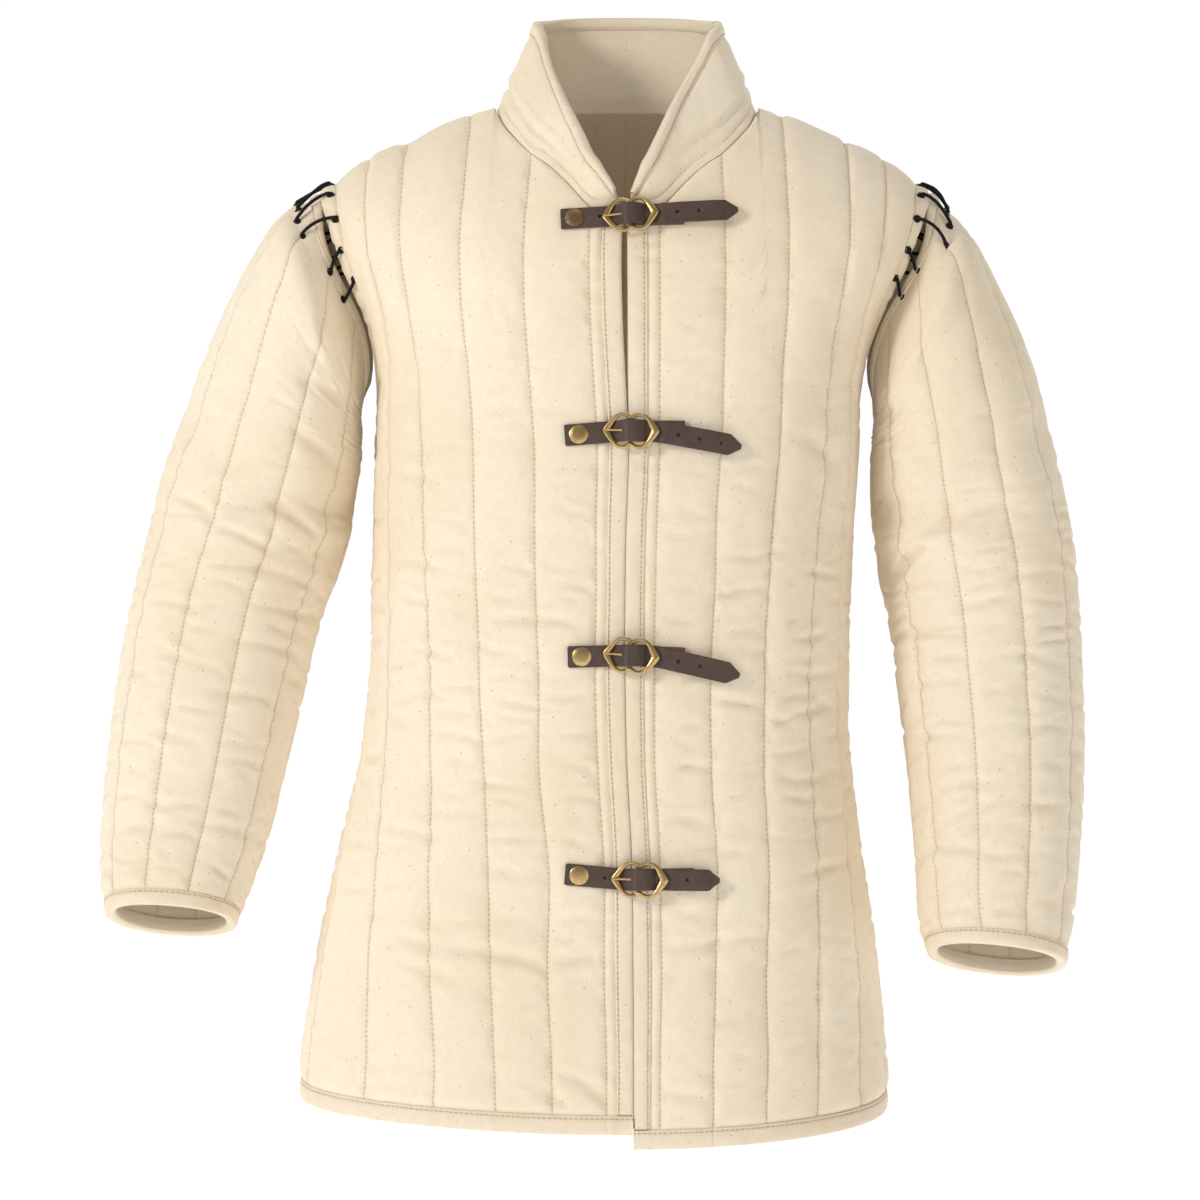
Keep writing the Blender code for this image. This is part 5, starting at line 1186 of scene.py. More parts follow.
def bind_hem(name, panel, finish, seed):
    """Binding of a hem, carried past the front edge to cover its corner."""
    lines = []
    for row in (0, 1):
        line = rows_of(panel, row)
        if name != "back":
            for points in line[:2]:
                points[0] += unit(points[0] - points[1]) * (TAPE_GAP + BINDING)
        lines.append(line)
    outward = (0, 1, 0) if name == "back" else (0, -1, 0)
    made = tape("tape_" + name + "_hem", *lines, finish, seed=seed, outward=outward)
    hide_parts(name + "_hem_binding")
    return made


def bind_front(name, panel, finish, seed):
    """Binding of a front edge, from just above the hem's binding to the collar."""
    widths = np.abs(np.abs(panel.cloth_map[0, :, 0]) - BINDING_WIDTH)
    column = int(widths.argmin())
    lines = []
    for c in (0, column):
        line = [grid[1:, c].copy() for grid in (panel.outer, panel.inner, panel.normals)]
        for points in line[:2]:
            points[0] += unit(points[1] - points[0]) * (SEAM_GAP + BINDING / 2)
        lines.append(line)
    made = tape("tape_" + name + "_edge", *lines, finish, seed=seed, outward=(0, -1, 0))
    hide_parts(name + "_edge_binding")
    return made


def joined(left, right):
    """The back's two halves as one panel."""
    parts = {part: np.concatenate([getattr(left, part)[:, :0:-1], getattr(right, part)], axis=1)
             for part in ("outer", "inner", "normals", "cloth_map", "seam_map")}
    return Panel(ends=left.ends[:0:-1] + right.ends, **parts)


def build_body(settings):
    """The two fronts and the back, each with its bound edges."""
    cloth, strip = cotton("undyed_cotton", settings), cotton("binding_tape", settings, tape=True)
    panels = {"front_right": body_panel("front", -1, settings),
              "front_left": body_panel("front", 1, settings),
              "back": joined(body_panel("back", -1, settings), body_panel("back", 1, settings))}
    for seed, (name, panel) in enumerate(panels.items()):
        made = shell("cloth_" + name, panel.outer, panel.inner, panel.cloth_map, panel.seam_map, cloth)
        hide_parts(name)
        tapes = [bind_hem(name, panel, strip, settings.seed + 20 + seed)]
        if name != "back":
            tapes.append(bind_front(name, panel, strip, settings.seed + 30 + seed))
        BUILT[name] = made
    BUILT["panels"] = panels


def build_collar(settings):
    """Standing collar from the neckline's own points, side by side round the neck."""
    panels = BUILT["panels"]
    base_outer, base_inner, tops = [], [], []
    back = panels["back"]
    middle = back.outer.shape[1] // 2
    for name, side in SIDES.items():
        half_outer, half_inner, half_top = [], [], []
        front = panels["front_" + name]
        for c in range(front.ends.count("neck")):
            half_outer.append(front.outer[-1, c])
            half_inner.append(front.inner[-1, c])
            half_top.append(collar_free_edge("front", side, front.outer[-1, c]))
        for c in reversed(range(back.ends[middle:].count("neck") - 1)):
            if c == 0 and side > 0:
                continue
            half_outer.append(back.outer[-1, middle + side * c])
            half_inner.append(back.inner[-1, middle + side * c])
            half_top.append(collar_free_edge("back", side, half_outer[-1]))
        order = 1 if side < 0 else -1
        base_outer += half_outer[::order]
        base_inner += half_inner[::order]
        tops += half_top[::order]
    base_outer, base_inner, tops = (np.array(a) for a in (base_outer, base_inner, tops))
    round_it = lengths_along(base_outer)
    even = np.linspace(0, round_it[-1], COLLAR_COLUMNS)
    base_outer, base_inner, tops = (along_path(even, round_it, a) for a in (base_outer, base_inner, tops))
    heights = np.linalg.norm(tops - base_outer, axis=1)
    lift = 3 * SEAM_GAP / heights
    hem = np.clip(1 - COLLAR_EDGE / heights, 0.35, 0.95)
    shares = np.concatenate([lift + (hem - lift) * np.linspace(0, 1, COLLAR_ROWS)[:, None] ** 1.15,
                             hem + (1 - hem) * np.array([[0.5], [1.0]])])
    points = base_outer + (tops - base_outer) * shares[..., None]
    normals = grid_normals(points, np.array([COLLAR_CENTRE_X, 0.0, 0.03]))
    normals[:, :3], normals[:, -3:] = normals[:, 3:4], normals[:, -4:-3]
    height = shares * heights
    seed = settings.seed + 40
    tall = np.minimum(1, heights / 0.05)
    plain_bulge = COLLAR_BULGE * np.sin(math.pi * np.clip(shares, 0, 1)) * tall
    bulge = plain_bulge - 0.0013 * np.exp(-np.abs(height - COLLAR_STITCH) / 0.0022)
    bulge -= 0.0010 * np.exp(-np.abs(height - heights + COLLAR_EDGE) / 0.002)
    bulge += 0.0009 * noise(seed, even / 0.0085, height / 0.012) * np.exp(-height / 0.016)
    bulge += 0.0004 * noise(seed + 1, even / 0.02, height / 0.02)
    radius = np.abs(base_outer[:, 0] - COLLAR_CENTRE_X)
    side_only = np.exp(-((radius - 0.085) / 0.032) ** 4) * (base_outer[:, 1] < 0.03)
    line = height - COLLAR_FOLD - 0.004 * noise(seed + 2, even / 0.03, 0.5)
    fold = np.exp(-(line / 0.0036) ** 2) - 0.5 * np.exp(-((line - 0.0075) / 0.004) ** 2)
    bulge -= 0.0022 * side_only * fold
    bulge[0] = np.minimum(bulge[0], 0)
    outer = points + normals * bulge[..., None]
    inner = points + normals * plain_bulge[..., None] - normals * COLLAR_WALL
    near = np.clip(1 - (shares - lift) / (0.35 * hem), 0, 1)[..., None]
    inner = inner * (1 - near) + (base_inner + (tops - base_outer) * shares[..., None]) * near
    cloth_map = np.stack([np.broadcast_to(even, height.shape), height], axis=-1)
    seam_map = np.stack([np.abs(height - COLLAR_STITCH), np.broadcast_to(even, height.shape)], axis=-1)
    cloth, strip = bpy.data.materials["undyed_cotton"], bpy.data.materials["binding_tape"]
    made = shell("cloth_collar", outer, inner, cloth_map, seam_map, cloth)
    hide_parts("collar")
    lines = [[grid[row] for grid in (outer, inner, normals)] for row in (-1, -3)]
    bound = tape("tape_collar", *lines, strip, seed=seed + 3)
    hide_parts("collar_binding")


def straightened(surface, places, dense, turns):
    """Where lines that keep their way round the upper arm meet each ring of the sleeve."""
    first = int(np.searchsorted(places, HEAD_PLACE))
    axis = unit(surface[first].mean(axis=0) - surface[first + 20].mean(axis=0))
    level = unit(np.cross(axis, [0.0, 1.0, 0.0]))
    other = np.cross(axis, level)
    flat = np.stack([surface[first] @ level, surface[first] @ other])
    centre = (flat.min(axis=1) + flat.max(axis=1))[:, None] / 2
    angles = []
    for ring in surface[:first + 1]:
        flat = np.stack([ring @ level, ring @ other]) - centre
        angles.append(np.unwrap(np.arctan2(flat[1], flat[0])))
    if angles[first][-1] < angles[first][0]:
        angles = [-angle for angle in angles]
    wanted = np.interp(turns, dense, angles[first])
    laps = [2 * math.pi * k for k in (-2, -1, 0, 1, 2)]
    slid = np.tile(turns, (len(places), 1))
    for row, angle in enumerate(angles):
        slid[row] = np.interp(wanted, np.concatenate([angle + lap for lap in laps]),
                              np.concatenate([dense + lap for lap in laps]))
    return slid


def build_sleeve(name, side, settings):
    """One sleeve, quilted and creased, with its bound head and cuff."""
    step = 2 * math.pi / SLEEVE_CHANNELS
    offsets = [0.0] + [sign * o / ARM_RADIUS for o in LINE_OFFSETS for sign in (-1, 1)]
    offsets = sorted(o for o in offsets if abs(o) < step / 2 - 0.02) + [step / 2]
    turns = np.array(sorted((k * step + o) % (2 * math.pi) for k in range(SLEEVE_CHANNELS)
                            for o in offsets))
    last = float(len(SLEEVES[name]))
    places = np.concatenate([[0.0], np.linspace(*SLEEVE_PLACES, SLEEVE_ROWS), [last]])
    dense = np.linspace(0, 2 * math.pi, DENSE_TURNS, endpoint=False)
    surface = sleeve_surface(name, side, dense, places)
    slid = straightened(surface, places, dense, turns)
    points = np.stack([np.stack([np.interp(row, dense, ring[:, k], period=2 * math.pi)
                                 for k in range(3)], axis=-1) for row, ring in zip(slid, surface)])
    head_seam = points[0] + unit(points[1] - points[0]) * HEAD_BINDING_WIDTH
    cuff_seam = points[-1] + unit(points[-2] - points[-1]) * CUFF_BINDING_WIDTH
    points = np.concatenate([points[:1], head_seam[None], points[1:-1], cuff_seam[None], points[-1:]])
    places = np.concatenate([[0.0, 0.3], places[1:-1], [last - 0.3, last]])
    around = np.roll(points, -1, axis=1) - np.roll(points, 1, axis=1)
    normals = unit(np.cross(np.gradient(points, axis=0), around))
    if np.sum((points - points.mean(axis=1, keepdims=True)) * normals) < 0:
        normals = -normals
    points = points - normals * elbow_dip(places, turns)[..., None]
    length = lengths_along(points).mean(axis=1)[:, None]
    nearest = np.round(turns / step) * step
    radius = ARM_RADIUS - WRIST_TAPER * (places[:, None] / last) ** 2
    distance = np.abs(turns - nearest) * radius
    seed = settings.seed + (60 if side < 0 else 80)
    around_at = turns * ARM_RADIUS
    dip = quilt(distance, step / 2 * radius) * (SLEEVE_STITCH_DIP / STITCH_DIP)
    dip *= 1 + SWELL * noise(seed, turns / step, length / SWELL_PITCH)
    ripple = noise(seed + 1, np.round(turns / step) % SLEEVE_CHANNELS, length / PUCKER_PITCH)
    dip += settings.pucker * ripple * np.exp(-(distance / PUCKER_REACH) ** 2)
    wave = np.sin(turns / 2) ** 0.5
    dip += SLEEVE_LUMP * wave * noise(seed + 2, around_at / LUMP_ACROSS, length / LUMP_ALONG)
    spans = [(k * step * ARM_RADIUS, (k + 1) * step * ARM_RADIUS) for k in range(SLEEVE_CHANNELS)]
    small = broken_creases(seed + 3, spans, *SLEEVE_CREASES, sleeve_strength)
    folds = crease_depth(small, around_at, length)
    front = np.clip(-normals[..., 1] * 2.5, 0, 1)
    folds += crease_depth(CREASES["sleeve_" + name], points[..., 0], points[..., 2]) * front
    dip += settings.wrinkle * folds
    for row in (1, -2):
        off = np.abs(length - length[row])
        dip = np.maximum(dip, SLEEVE_STITCH_DIP * np.exp(-off / EDGE_CUSP))
    dip[[0, 1, -2, -1]] = SLEEVE_STITCH_DIP
    dip = np.clip(dip, -SLEEVE_RISE, SLEEVE_WALL - THINNEST)
    outer = points - normals * dip[..., None]
    inner = points - normals * SLEEVE_WALL
    mirrored = np.abs(turns - math.pi) * ARM_RADIUS
    along = np.broadcast_to(length, distance.shape)
    cloth_map = np.stack([np.broadcast_to(mirrored, distance.shape), along], axis=-1)
    seam_map = np.stack([distance, along], axis=-1)
    cloth, strip = bpy.data.materials["undyed_cotton"], bpy.data.materials["binding_tape"]
    node = "sleeve_" + name
    made = shell("cloth_" + node, outer, inner, cloth_map, seam_map, cloth, closed=True)
    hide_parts(node)
    for end, (edge, seam) in {"cuff": (-1, -2), "head": (0, 1)}.items():
        lines = [[grid[row] for grid in (outer, inner, normals)] for row in (edge, seam)]
        fold = TAPE_FOLD + (HEAD_TAPE_FOLD * np.sin(turns) ** 2 if end == "head" else 0.0)
        bound = tape("tape_" + node + "_" + end, *lines, strip, closed=True, seed=seed + 5, fold=fold)
        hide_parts(node + "_" + end + "_binding")
    BUILT[node] = made


def build_sleeves(settings):
    for name, side in SIDES.items():
        build_sleeve(name, side, settings)


class Outer:
    """Outer faces of some fine walls: place, direction out and depth of the cloth."""

    def __init__(self, objects):
        vertices, polygons = [], []
        for obj in objects:
            half = len(obj.data.vertices) // 2
            start = len(vertices)
            places = np.empty(len(obj.data.vertices) * 3)
            obj.data.vertices.foreach_get("co", places)
            vertices += places.reshape(-1, 3)[:half].tolist()
            polygons += [[start + i for i in p.vertices] for p in obj.data.polygons
                         if max(p.vertices) < half]
        self.tree = BVHTree.FromPolygons(vertices, polygons)

    def eyelet(self, near):
        place, normal, _, _ = self.tree.find_nearest(Vector(near))
        return np.array(place), np.array(normal), EYELET_DEPTH


def tree_of(objects):
    """One search tree over the faces of several pieces."""
    vertices, polygons = [], []
    for obj in objects:
        start = len(vertices)
        vertices += [v.co.copy() for v in obj.data.vertices]
        polygons += [[start + i for i in p.vertices] for p in obj.data.polygons]
    return BVHTree.FromPolygons(vertices, polygons)


def lace_ends(side, body_walls, sleeve_walls):
    """Where each bar of the lace goes through the body and through the sleeve, past its tape."""
    turns = np.linspace(-math.pi * 0.8, math.pi * 0.8, 241)
    edge = np.array([armhole_point(side, t % (2 * math.pi)) for t in turns])
    lengths = lengths_along(edge)
    lengths -= lengths[len(turns) // 2]
    bars = []
    for k in range(LACE_BARS):
        offset = ((LACE_BARS - 1) / 2 - k) * LACE_PITCH
        on_body = lace_eyelet(side, edge, lengths, offset, -BODY_EYELET_INSET, body_walls)
        on_sleeve = lace_eyelet(side, edge, lengths, offset + LACE_SLANT, SLEEVE_EYELET_INSET,
                                sleeve_walls)
        bars.append((on_sleeve, on_body))
    return bars


def lace_eyelet(side, edge, lengths, offset, inset, walls):
    here = along_path(offset, lengths, edge)
    along = unit(along_path(offset + 0.004, lengths, edge) - here)
    centre = np.array([side * 0.2, 0.0, -0.15])
    up = unit(here - centre - along * np.dot(here - centre, along))
    out = unit(np.cross(along, up))
    if out[0] * side < 0:
        out = -out
    return walls.eyelet(here + out * inset + up * 0.003)


def rounded(points, passes=2):
    """The same path with its corners cut round, its ends kept."""
    points = np.array(points)
    for _ in range(passes):
        near, far = points[:-1], points[1:]
        cut = np.stack([near * 0.75 + far * 0.25, near * 0.25 + far * 0.75], axis=1).reshape(-1, 3)
        points = np.concatenate([points[:1], cut[1:-1], points[-1:]])
    return points


def cord_rings(points, radius, sides=10):
    """Round section carried along a path without twisting."""
    points = np.array(points)
    ahead = unit(np.gradient(points, axis=0))
    side = unit(np.cross(ahead[0], [0.3, 0.2, 0.9]))
    radius = np.broadcast_to(radius, len(points))
    turns = circle(sides)
    rings = []
    for place, direction, size in zip(points, ahead, radius):
        side = unit(side - direction * np.dot(side, direction))
        other = np.cross(direction, side)
        rings.append(place + size * (np.cos(turns)[:, None] * side + np.sin(turns)[:, None] * other))
    return np.array(rings)


def cord_maps(rings):
    along = lengths_along(rings.mean(axis=1))
    around = np.arange(rings.shape[1]) / rings.shape[1]
    grid = np.stack(np.broadcast_arrays(around[None, :], along[:, None]), axis=-1)
    return {"cloth": grid.reshape(-1, 2)}


def build_lace(name, side, settings):
    """One lace over the seam, its ends under the cloth, with a ring in each hole."""
    front = BUILT["front_right" if side < 0 else "front_left"]
    sleeve = BUILT["sleeve_" + name]
    head = bpy.data.objects["tape_sleeve_" + name + "_head"]
    both = tree_of([front, BUILT["back"], sleeve, head])
    bars = lace_ends(side, Outer([front, BUILT["back"]]), Outer([sleeve]))
    off = LACE_RADIUS + LACE_CLEAR
    points, vertices, faces = [], [], []
    for k, ((foot, foot_normal, depth), (top, top_normal, top_depth)) in enumerate(bars):
        foot_under = foot - foot_normal * (depth + LACE_ROOM)
        top_under = top - top_normal * (top_depth + LACE_ROOM)
        if k:
            beside = top_under - top_normal * 0.001 + unit(under - top_under) * LACE_ASIDE
            points += taut(under, beside, -top_normal, both)[1:]
            points += taut(beside, foot_under, -unit(top_normal + foot_normal), both)[1:-1]
        away = unit(foot_normal + top_normal)
        over = taut(foot + foot_normal * off, top + top_normal * off, away, both)
        chord = over[-1] - over[0]
        aside = unit(np.cross(chord, away))
        aside *= np.sign(aside[2]) * np.linalg.norm(chord)
        away = unit(away - chord * np.dot(away, chord) / np.dot(chord, chord))
        over = bowed(over, aside * LACE_BOWS[k], away, both)
        points += [foot_under, foot, *over, top, top_under]
        under = top_under
        for place, normal in ((foot, foot_normal), (top, top_normal)):
            ring_faces(vertices, faces, place, normal)
    rings = cord_rings(rounded(points), settings.lace_radius)
    cord = black_cord("black_cord")
    made = tube("cord_lace_" + name, rings, cord, cord_maps(rings), sharp=80.0)
    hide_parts("lace_" + name)
    add_mesh("eyelets_" + name, vertices, faces, enamel("black_enamel"))


def build_laces(settings):
    for name, side in SIDES.items():
        build_lace(name, side, settings)


def ring_faces(vertices, faces, place, normal):
    """Turned metal ring of one eyelet, with its dark mouth."""
    side = unit(np.cross(normal, [0.0, 0.35, 0.94]))
    other = np.cross(normal, side)
    start = len(vertices)
    for radius, height in EYELET_PROFILE:
        for turn in circle(EYELET_SIDES):
            vertices.append(place + radius * (side * math.cos(turn) + other * math.sin(turn))
                            + normal * height)
    for quad in grid_faces(len(EYELET_PROFILE), EYELET_SIDES, True).tolist():
        faces.append([start + i for i in quad])
    faces.append([start + p for p in range(EYELET_SIDES)])


def strip_rings(places, ups, normals, half_widths, thickness):
    """Rounded flat section for each place: its middle underneath, its width and its thickness."""
    rings = []
    for place, up, normal, half in zip(places, ups, normals, half_widths):
        rings.append([place + up * half * x + normal * thickness * y for x, y in STRIP_SECTION])
    return np.array(rings)


def strip_maps(rings):
    """Map of a strip: how far across, in metres, and how far along."""
    along = lengths_along(rings.mean(axis=1))
    across = np.linalg.norm(rings - rings[:, :1], axis=-1)
    return {"cloth": np.stack([across, np.broadcast_to(along[:, None], across.shape)],
                              axis=-1).reshape(-1, 2)}


def strap_piece(key, strap, frame_of, finish):
    stations = np.array(strap_stations(strap))
    s = np.concatenate([np.linspace(-strap.left, -0.013, 40), np.linspace(-0.0125, 0.0125, 44),
                        np.linspace(0.0135, strap.tail, 62)])
    t = np.interp(s, stations[:, 0], stations[:, 1])
    h = np.interp(s, stations[:, 0], stations[:, 2])
    for _ in range(3):
        h[1:-1] = np.maximum(h[1:-1], (h[:-2] + 2 * h[1:-1] + h[2:]) / 4)
        t[1:-1] = (t[:-2] + 2 * t[1:-1] + t[2:]) / 4
    h = h + 0.0012 * np.clip((s - 0.045) / (strap.tail - 0.045), 0, 1) ** 2
    places = np.array([frame_of.point(*p) for p in zip(s, t, h)])
    ahead = unit(np.gradient(np.stack([s, t], axis=-1), axis=0))
    ups = np.array([frame_of.along * -b + frame_of.up * a for a, b in ahead])
    lifted = unit(np.gradient(places, axis=0))
    normals = unit(np.cross(lifted, ups))
    normals *= np.sign(normals @ frame_of.out)[:, None]
    from_tip = strap.tail - s
    half = STRAP_WIDTH / 2 * np.clip(TAIL_TIP + (1 - TAIL_TIP) * from_tip / TAIL_POINT, 0, 1)
    half = np.minimum(half, STRAP_WIDTH / 2 * np.clip(0.9 + (s + strap.left) / 0.01, 0, 1))
    rings = strip_rings(places, ups, normals, half, LEATHER)
    made = tube("leather_strap_" + key, rings, finish, strip_maps(rings), sharp=45.0)
    holes = []
    for place in hole_places(strap):
        holes.append(along_path(place, s, places) + frame_of.out * LEATHER / 2)
    cut_holes(made, "holes_strap_" + key, holes, frame_of.out)
    # painted shade: a dark leather disc under each hole makes the hole look dark
    hole_shade_discs("lining_strap_" + key, holes, frame_of.out, finish)
    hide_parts("strap_" + key)
    return t, s


def prisms(places, direction, radius, sides, depths):
    """Short round rods, one at each place: their vertices and their faces."""
    turn = Vector(direction).to_track_quat("Z", "Y")
    vertices, faces = [], []
    for place in places:
        start = len(vertices)
        vertices += [Vector(place) + turn @ Vector((radius * math.cos(a), radius * math.sin(a), depth))
                     for depth in depths for a in circle(sides)]
        faces += [[start + k, start + (k + 1) % sides, start + sides + (k + 1) % sides, start + sides + k]
                  for k in range(sides)]
        faces += [[start + k for k in range(sides)], [start + sides + k for k in reversed(range(sides))]]
    return vertices, faces


def cut_holes(obj, name, places, direction):
    """Round holes through a piece, by a hidden cutter."""
    vertices, faces = prisms(places, direction, CUTTER_SHARE * HOLE_RADIUS, CUTTER_SIDES,
                             (-3 * LEATHER, 3 * LEATHER))
    mesh = bpy.data.meshes.new(name)
    mesh.from_pydata(vertices, [], faces)
    bm = bmesh.new()
    bm.from_mesh(mesh)
    bmesh.ops.recalc_face_normals(bm, faces=bm.faces)
    bm.to_mesh(mesh)
    bm.free()
    cutter = placed(name, mesh)
    cutter.hide_render = True
    cutter.display_type = "WIRE"
    modifier = obj.modifiers.new("holes", "BOOLEAN")
    modifier.operation = "DIFFERENCE"
    modifier.solver = "EXACT"
    modifier.object = cutter


def hole_shade_discs(name, places, direction, finish):
    """Dark leather disc under each hole, painted shade that keeps the pale cloth from showing through it.
    """
    add_mesh(name, *prisms(places, direction, HOLE_SHADE_SHARE * HOLE_RADIUS, HOLE_SHADE_SIDES, HOLE_SHADE_DEPTHS),
             finish)


def chape_piece(key, frame_of, finish):
    flat = np.array(chape_places())
    stations = lengths_along(flat)
    at = np.linspace(0, stations[-1], 110)
    flat = along_path(at, stations, flat)
    for _ in range(2):
        flat[1:-1] = (flat[:-2] + 2 * flat[1:-1] + flat[2:]) / 4
    ahead = unit(np.gradient(flat, axis=0))
    half = CHAPE_LEATHER / 2
    rings = []
    for (s, h), (a, b) in zip(flat, ahead):
        ring = []
        for width, up in CHAPE_SECTION:
            lean = CHAPE_LEANS[key] * max(0.0, s)
            x, y = frame_of.turned(s - b * half * up, width * CHAPE_WIDTH / 2 + lean)
            ring.append(frame_of.point(x, y, h + a * half * up))
        rings.append(ring)
    rings = np.array(rings)
    made = tube("leather_chape_" + key, rings, finish, strip_maps(rings), sharp=45.0)
    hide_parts("strap_" + key + "_chape")


def buckle_outline():
    """Outline of the double heart, its loops round and its tips drawn out."""
    corners = np.array(BUCKLE_QUARTER)
    stations = lengths_along(corners)
    at = np.linspace(0, stations[-1], BUCKLE_POINTS // 4 + 1)
    quarter = np.stack([cubic(stations, corners[:, k], at) for k in (0, 1)], axis=-1)
    right = np.concatenate([quarter, quarter[-2::-1] * [1, -1]])
    return np.concatenate([right, right[-2:0:-1] * [-1, 1]])


def buckle_piece(key, frame_of, finish):
    flat = buckle_outline()
    ahead = unit(np.roll(flat, -1, axis=0) - np.roll(flat, 1, axis=0))
    rings = []
    for (s, t), (a, b) in zip(flat, ahead):
        height = BAR_HEIGHT + (FRAME_RIGHT_HEIGHT - BAR_HEIGHT) * s / FRAME_HALF_LENGTH
        tip = max(0.0, abs(s) / FRAME_HALF_LENGTH - 0.45) / 0.55
        waist = math.exp(-(s / 0.0013) ** 2)
        inward = FRAME_WIRE * (1.25 + (2.6 if s > 0 else 1.7) * tip ** 1.5 + 0.5 * waist)
        outward = FRAME_WIRE * (1.30 + 0.2 * tip + 0.45 * waist)
        high = FRAME_WIRE * (1.15 + 0.12 * tip + 0.20 * waist)
        ring = []
        for angle in circle(BUCKLE_SIDES) + math.pi / BUCKLE_SIDES:
            wide = inward if math.cos(angle) > 0 else outward
            out = wide * math.copysign(abs(math.cos(angle)) ** 0.85, math.cos(angle))
            up = high * math.copysign(abs(math.sin(angle)) ** 0.9, math.sin(angle))
            x, y = frame_of.turned(s + b * out, t - a * out)
            ring.append(frame_of.point(x, y, height + up, follow=False))
        rings.append(ring)
    made = tube("brass_buckle_" + key, rings, finish, closed=True, sharp=40.0)
    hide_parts("strap_" + key + "_buckle")
    rings = []
    for t in np.linspace(-BAR_HALF, BAR_HALF, 5):
        ring = []
        for angle in circle(BAR_SIDES):
            x, y = frame_of.turned(BAR_RADIUS * math.cos(angle), t)
            ring.append(frame_of.point(x, y, BAR_HEIGHT + BAR_RADIUS * math.sin(angle), follow=False))
        rings.append(ring)
    bar = tube("brass_bar_" + key, rings, finish, sharp=60.0)


def prong_piece(key, frame_of, finish):
    path = []
    for s, h in rounded([(s, h, 0.0) for s, h in prong_places()], 2)[:, :2]:
        x, y = frame_of.turned(s, 0.0)
        path.append(frame_of.point(x, y, h, follow=False))
    share = np.linspace(0, 1, len(path))
    rings = cord_rings(path, PRONG_WIRE * (1.65 - 0.55 * share ** 2), 10)
    made = tube("brass_prong_" + key, rings, finish, sharp=60.0)
    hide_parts("strap_" + key + "_prong")


def rivet_piece(name, node, frame_of, s, t, height, radius, finish):
    """Domed rivet cap with a thin rim."""
    centre = frame_of.point(s, t, height)
    up = unit(frame_of.point(s, t + 0.004, height) - centre)
    along = unit(frame_of.point(s + 0.004, t, height) - centre)
    out = unit(np.cross(along, up))
    turns = circle(RIVET_SIDES)[:, None]
    rings = [centre + radius * share * (along * np.cos(turns) + up * np.sin(turns))
             + out * RIVET_HEIGHT * rise for share, rise in RIVET_PROFILE]
    made = tube(name, rings, finish, sharp=35.0)
    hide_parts(node)


def build_straps(_settings):
    """The four straps, each with its chape, double-heart buckle, prong and two rivets."""
    leather = brown_leather("brown_leather")
    chape = brown_leather("chape_leather", CHAPE_BROWN)
    brass = antique_brass("antique_brass", BRIGHT_BRASS, 0.30)
    dark = antique_brass("dark_brass", DARK_BRASS, 0.42)
    for key, strap in STRAPS.items():
        frame_of = StrapFrame(strap)
        t, s = strap_piece(key, strap, frame_of, leather)
        chape_piece(key, frame_of, chape)
        buckle_piece(key, frame_of, brass)
        prong_piece(key, frame_of, brass)
        at = -strap.left + RIVET_INSET
        rise = float(np.interp(at, s, t))
        node = "strap_" + key
        rivet_piece("brass_rivet_" + key, node + "_rivet", frame_of, at, rise, LEATHER + 2 * CLEAR,
                    RIVET_RADIUS, dark if key == "1" else brass)
        rivet_piece("brass_chape_rivet_" + key, node + "_chape_rivet", frame_of, CHAPE_RIVET, 0.0,
                    2 * CHAPE_LEATHER + 4 * CLEAR, CHAPE_RIVET_RADIUS, dark)


class Socket:
    """A shader value that takes part in Python arithmetic."""

    def __init__(self, tree, source):
        self.tree, self.source = tree, source

    def math(self, operation, *others, clamp=False):
        return self.tree.node("ShaderNodeMath", {"operation": operation, "use_clamp": clamp},
                              self, *others)

    def __add__(self, other):
        return self.math("ADD", other)

    def __sub__(self, other):
        return self.math("SUBTRACT", other)

    def __rsub__(self, other):
        return self.tree.value(other).math("SUBTRACT", self)

    def __mul__(self, other):
        return self.math("MULTIPLY", other)

    def __truediv__(self, other):
        return self.math("DIVIDE", other)

    def __rtruediv__(self, other):
        return self.tree.value(other).math("DIVIDE", self)

    def __pow__(self, other):
        return self.math("POWER", other)

    def __mod__(self, other):
        return self.math("FLOORED_MODULO", other)

    def __abs__(self):
        return self.math("ABSOLUTE")

    def __neg__(self):
        return self * -1.0

    __radd__ = __add__
    __rmul__ = __mul__

    def sin(self):
        return self.math("SINE")

    def least(self, other):
        return self.math("MINIMUM", other)

    def most(self, other):
        return self.math("MAXIMUM", other)

    def between(self, low, high):
        """0 below low and 1 above high, smooth between them; low may be the greater."""
        made = self.tree.node("ShaderNodeMapRange", {"interpolation_type": "SMOOTHSTEP"}, self)
        inputs = made.source.node.inputs
        inputs["From Min"].default_value, inputs["From Max"].default_value = low, high
        return made


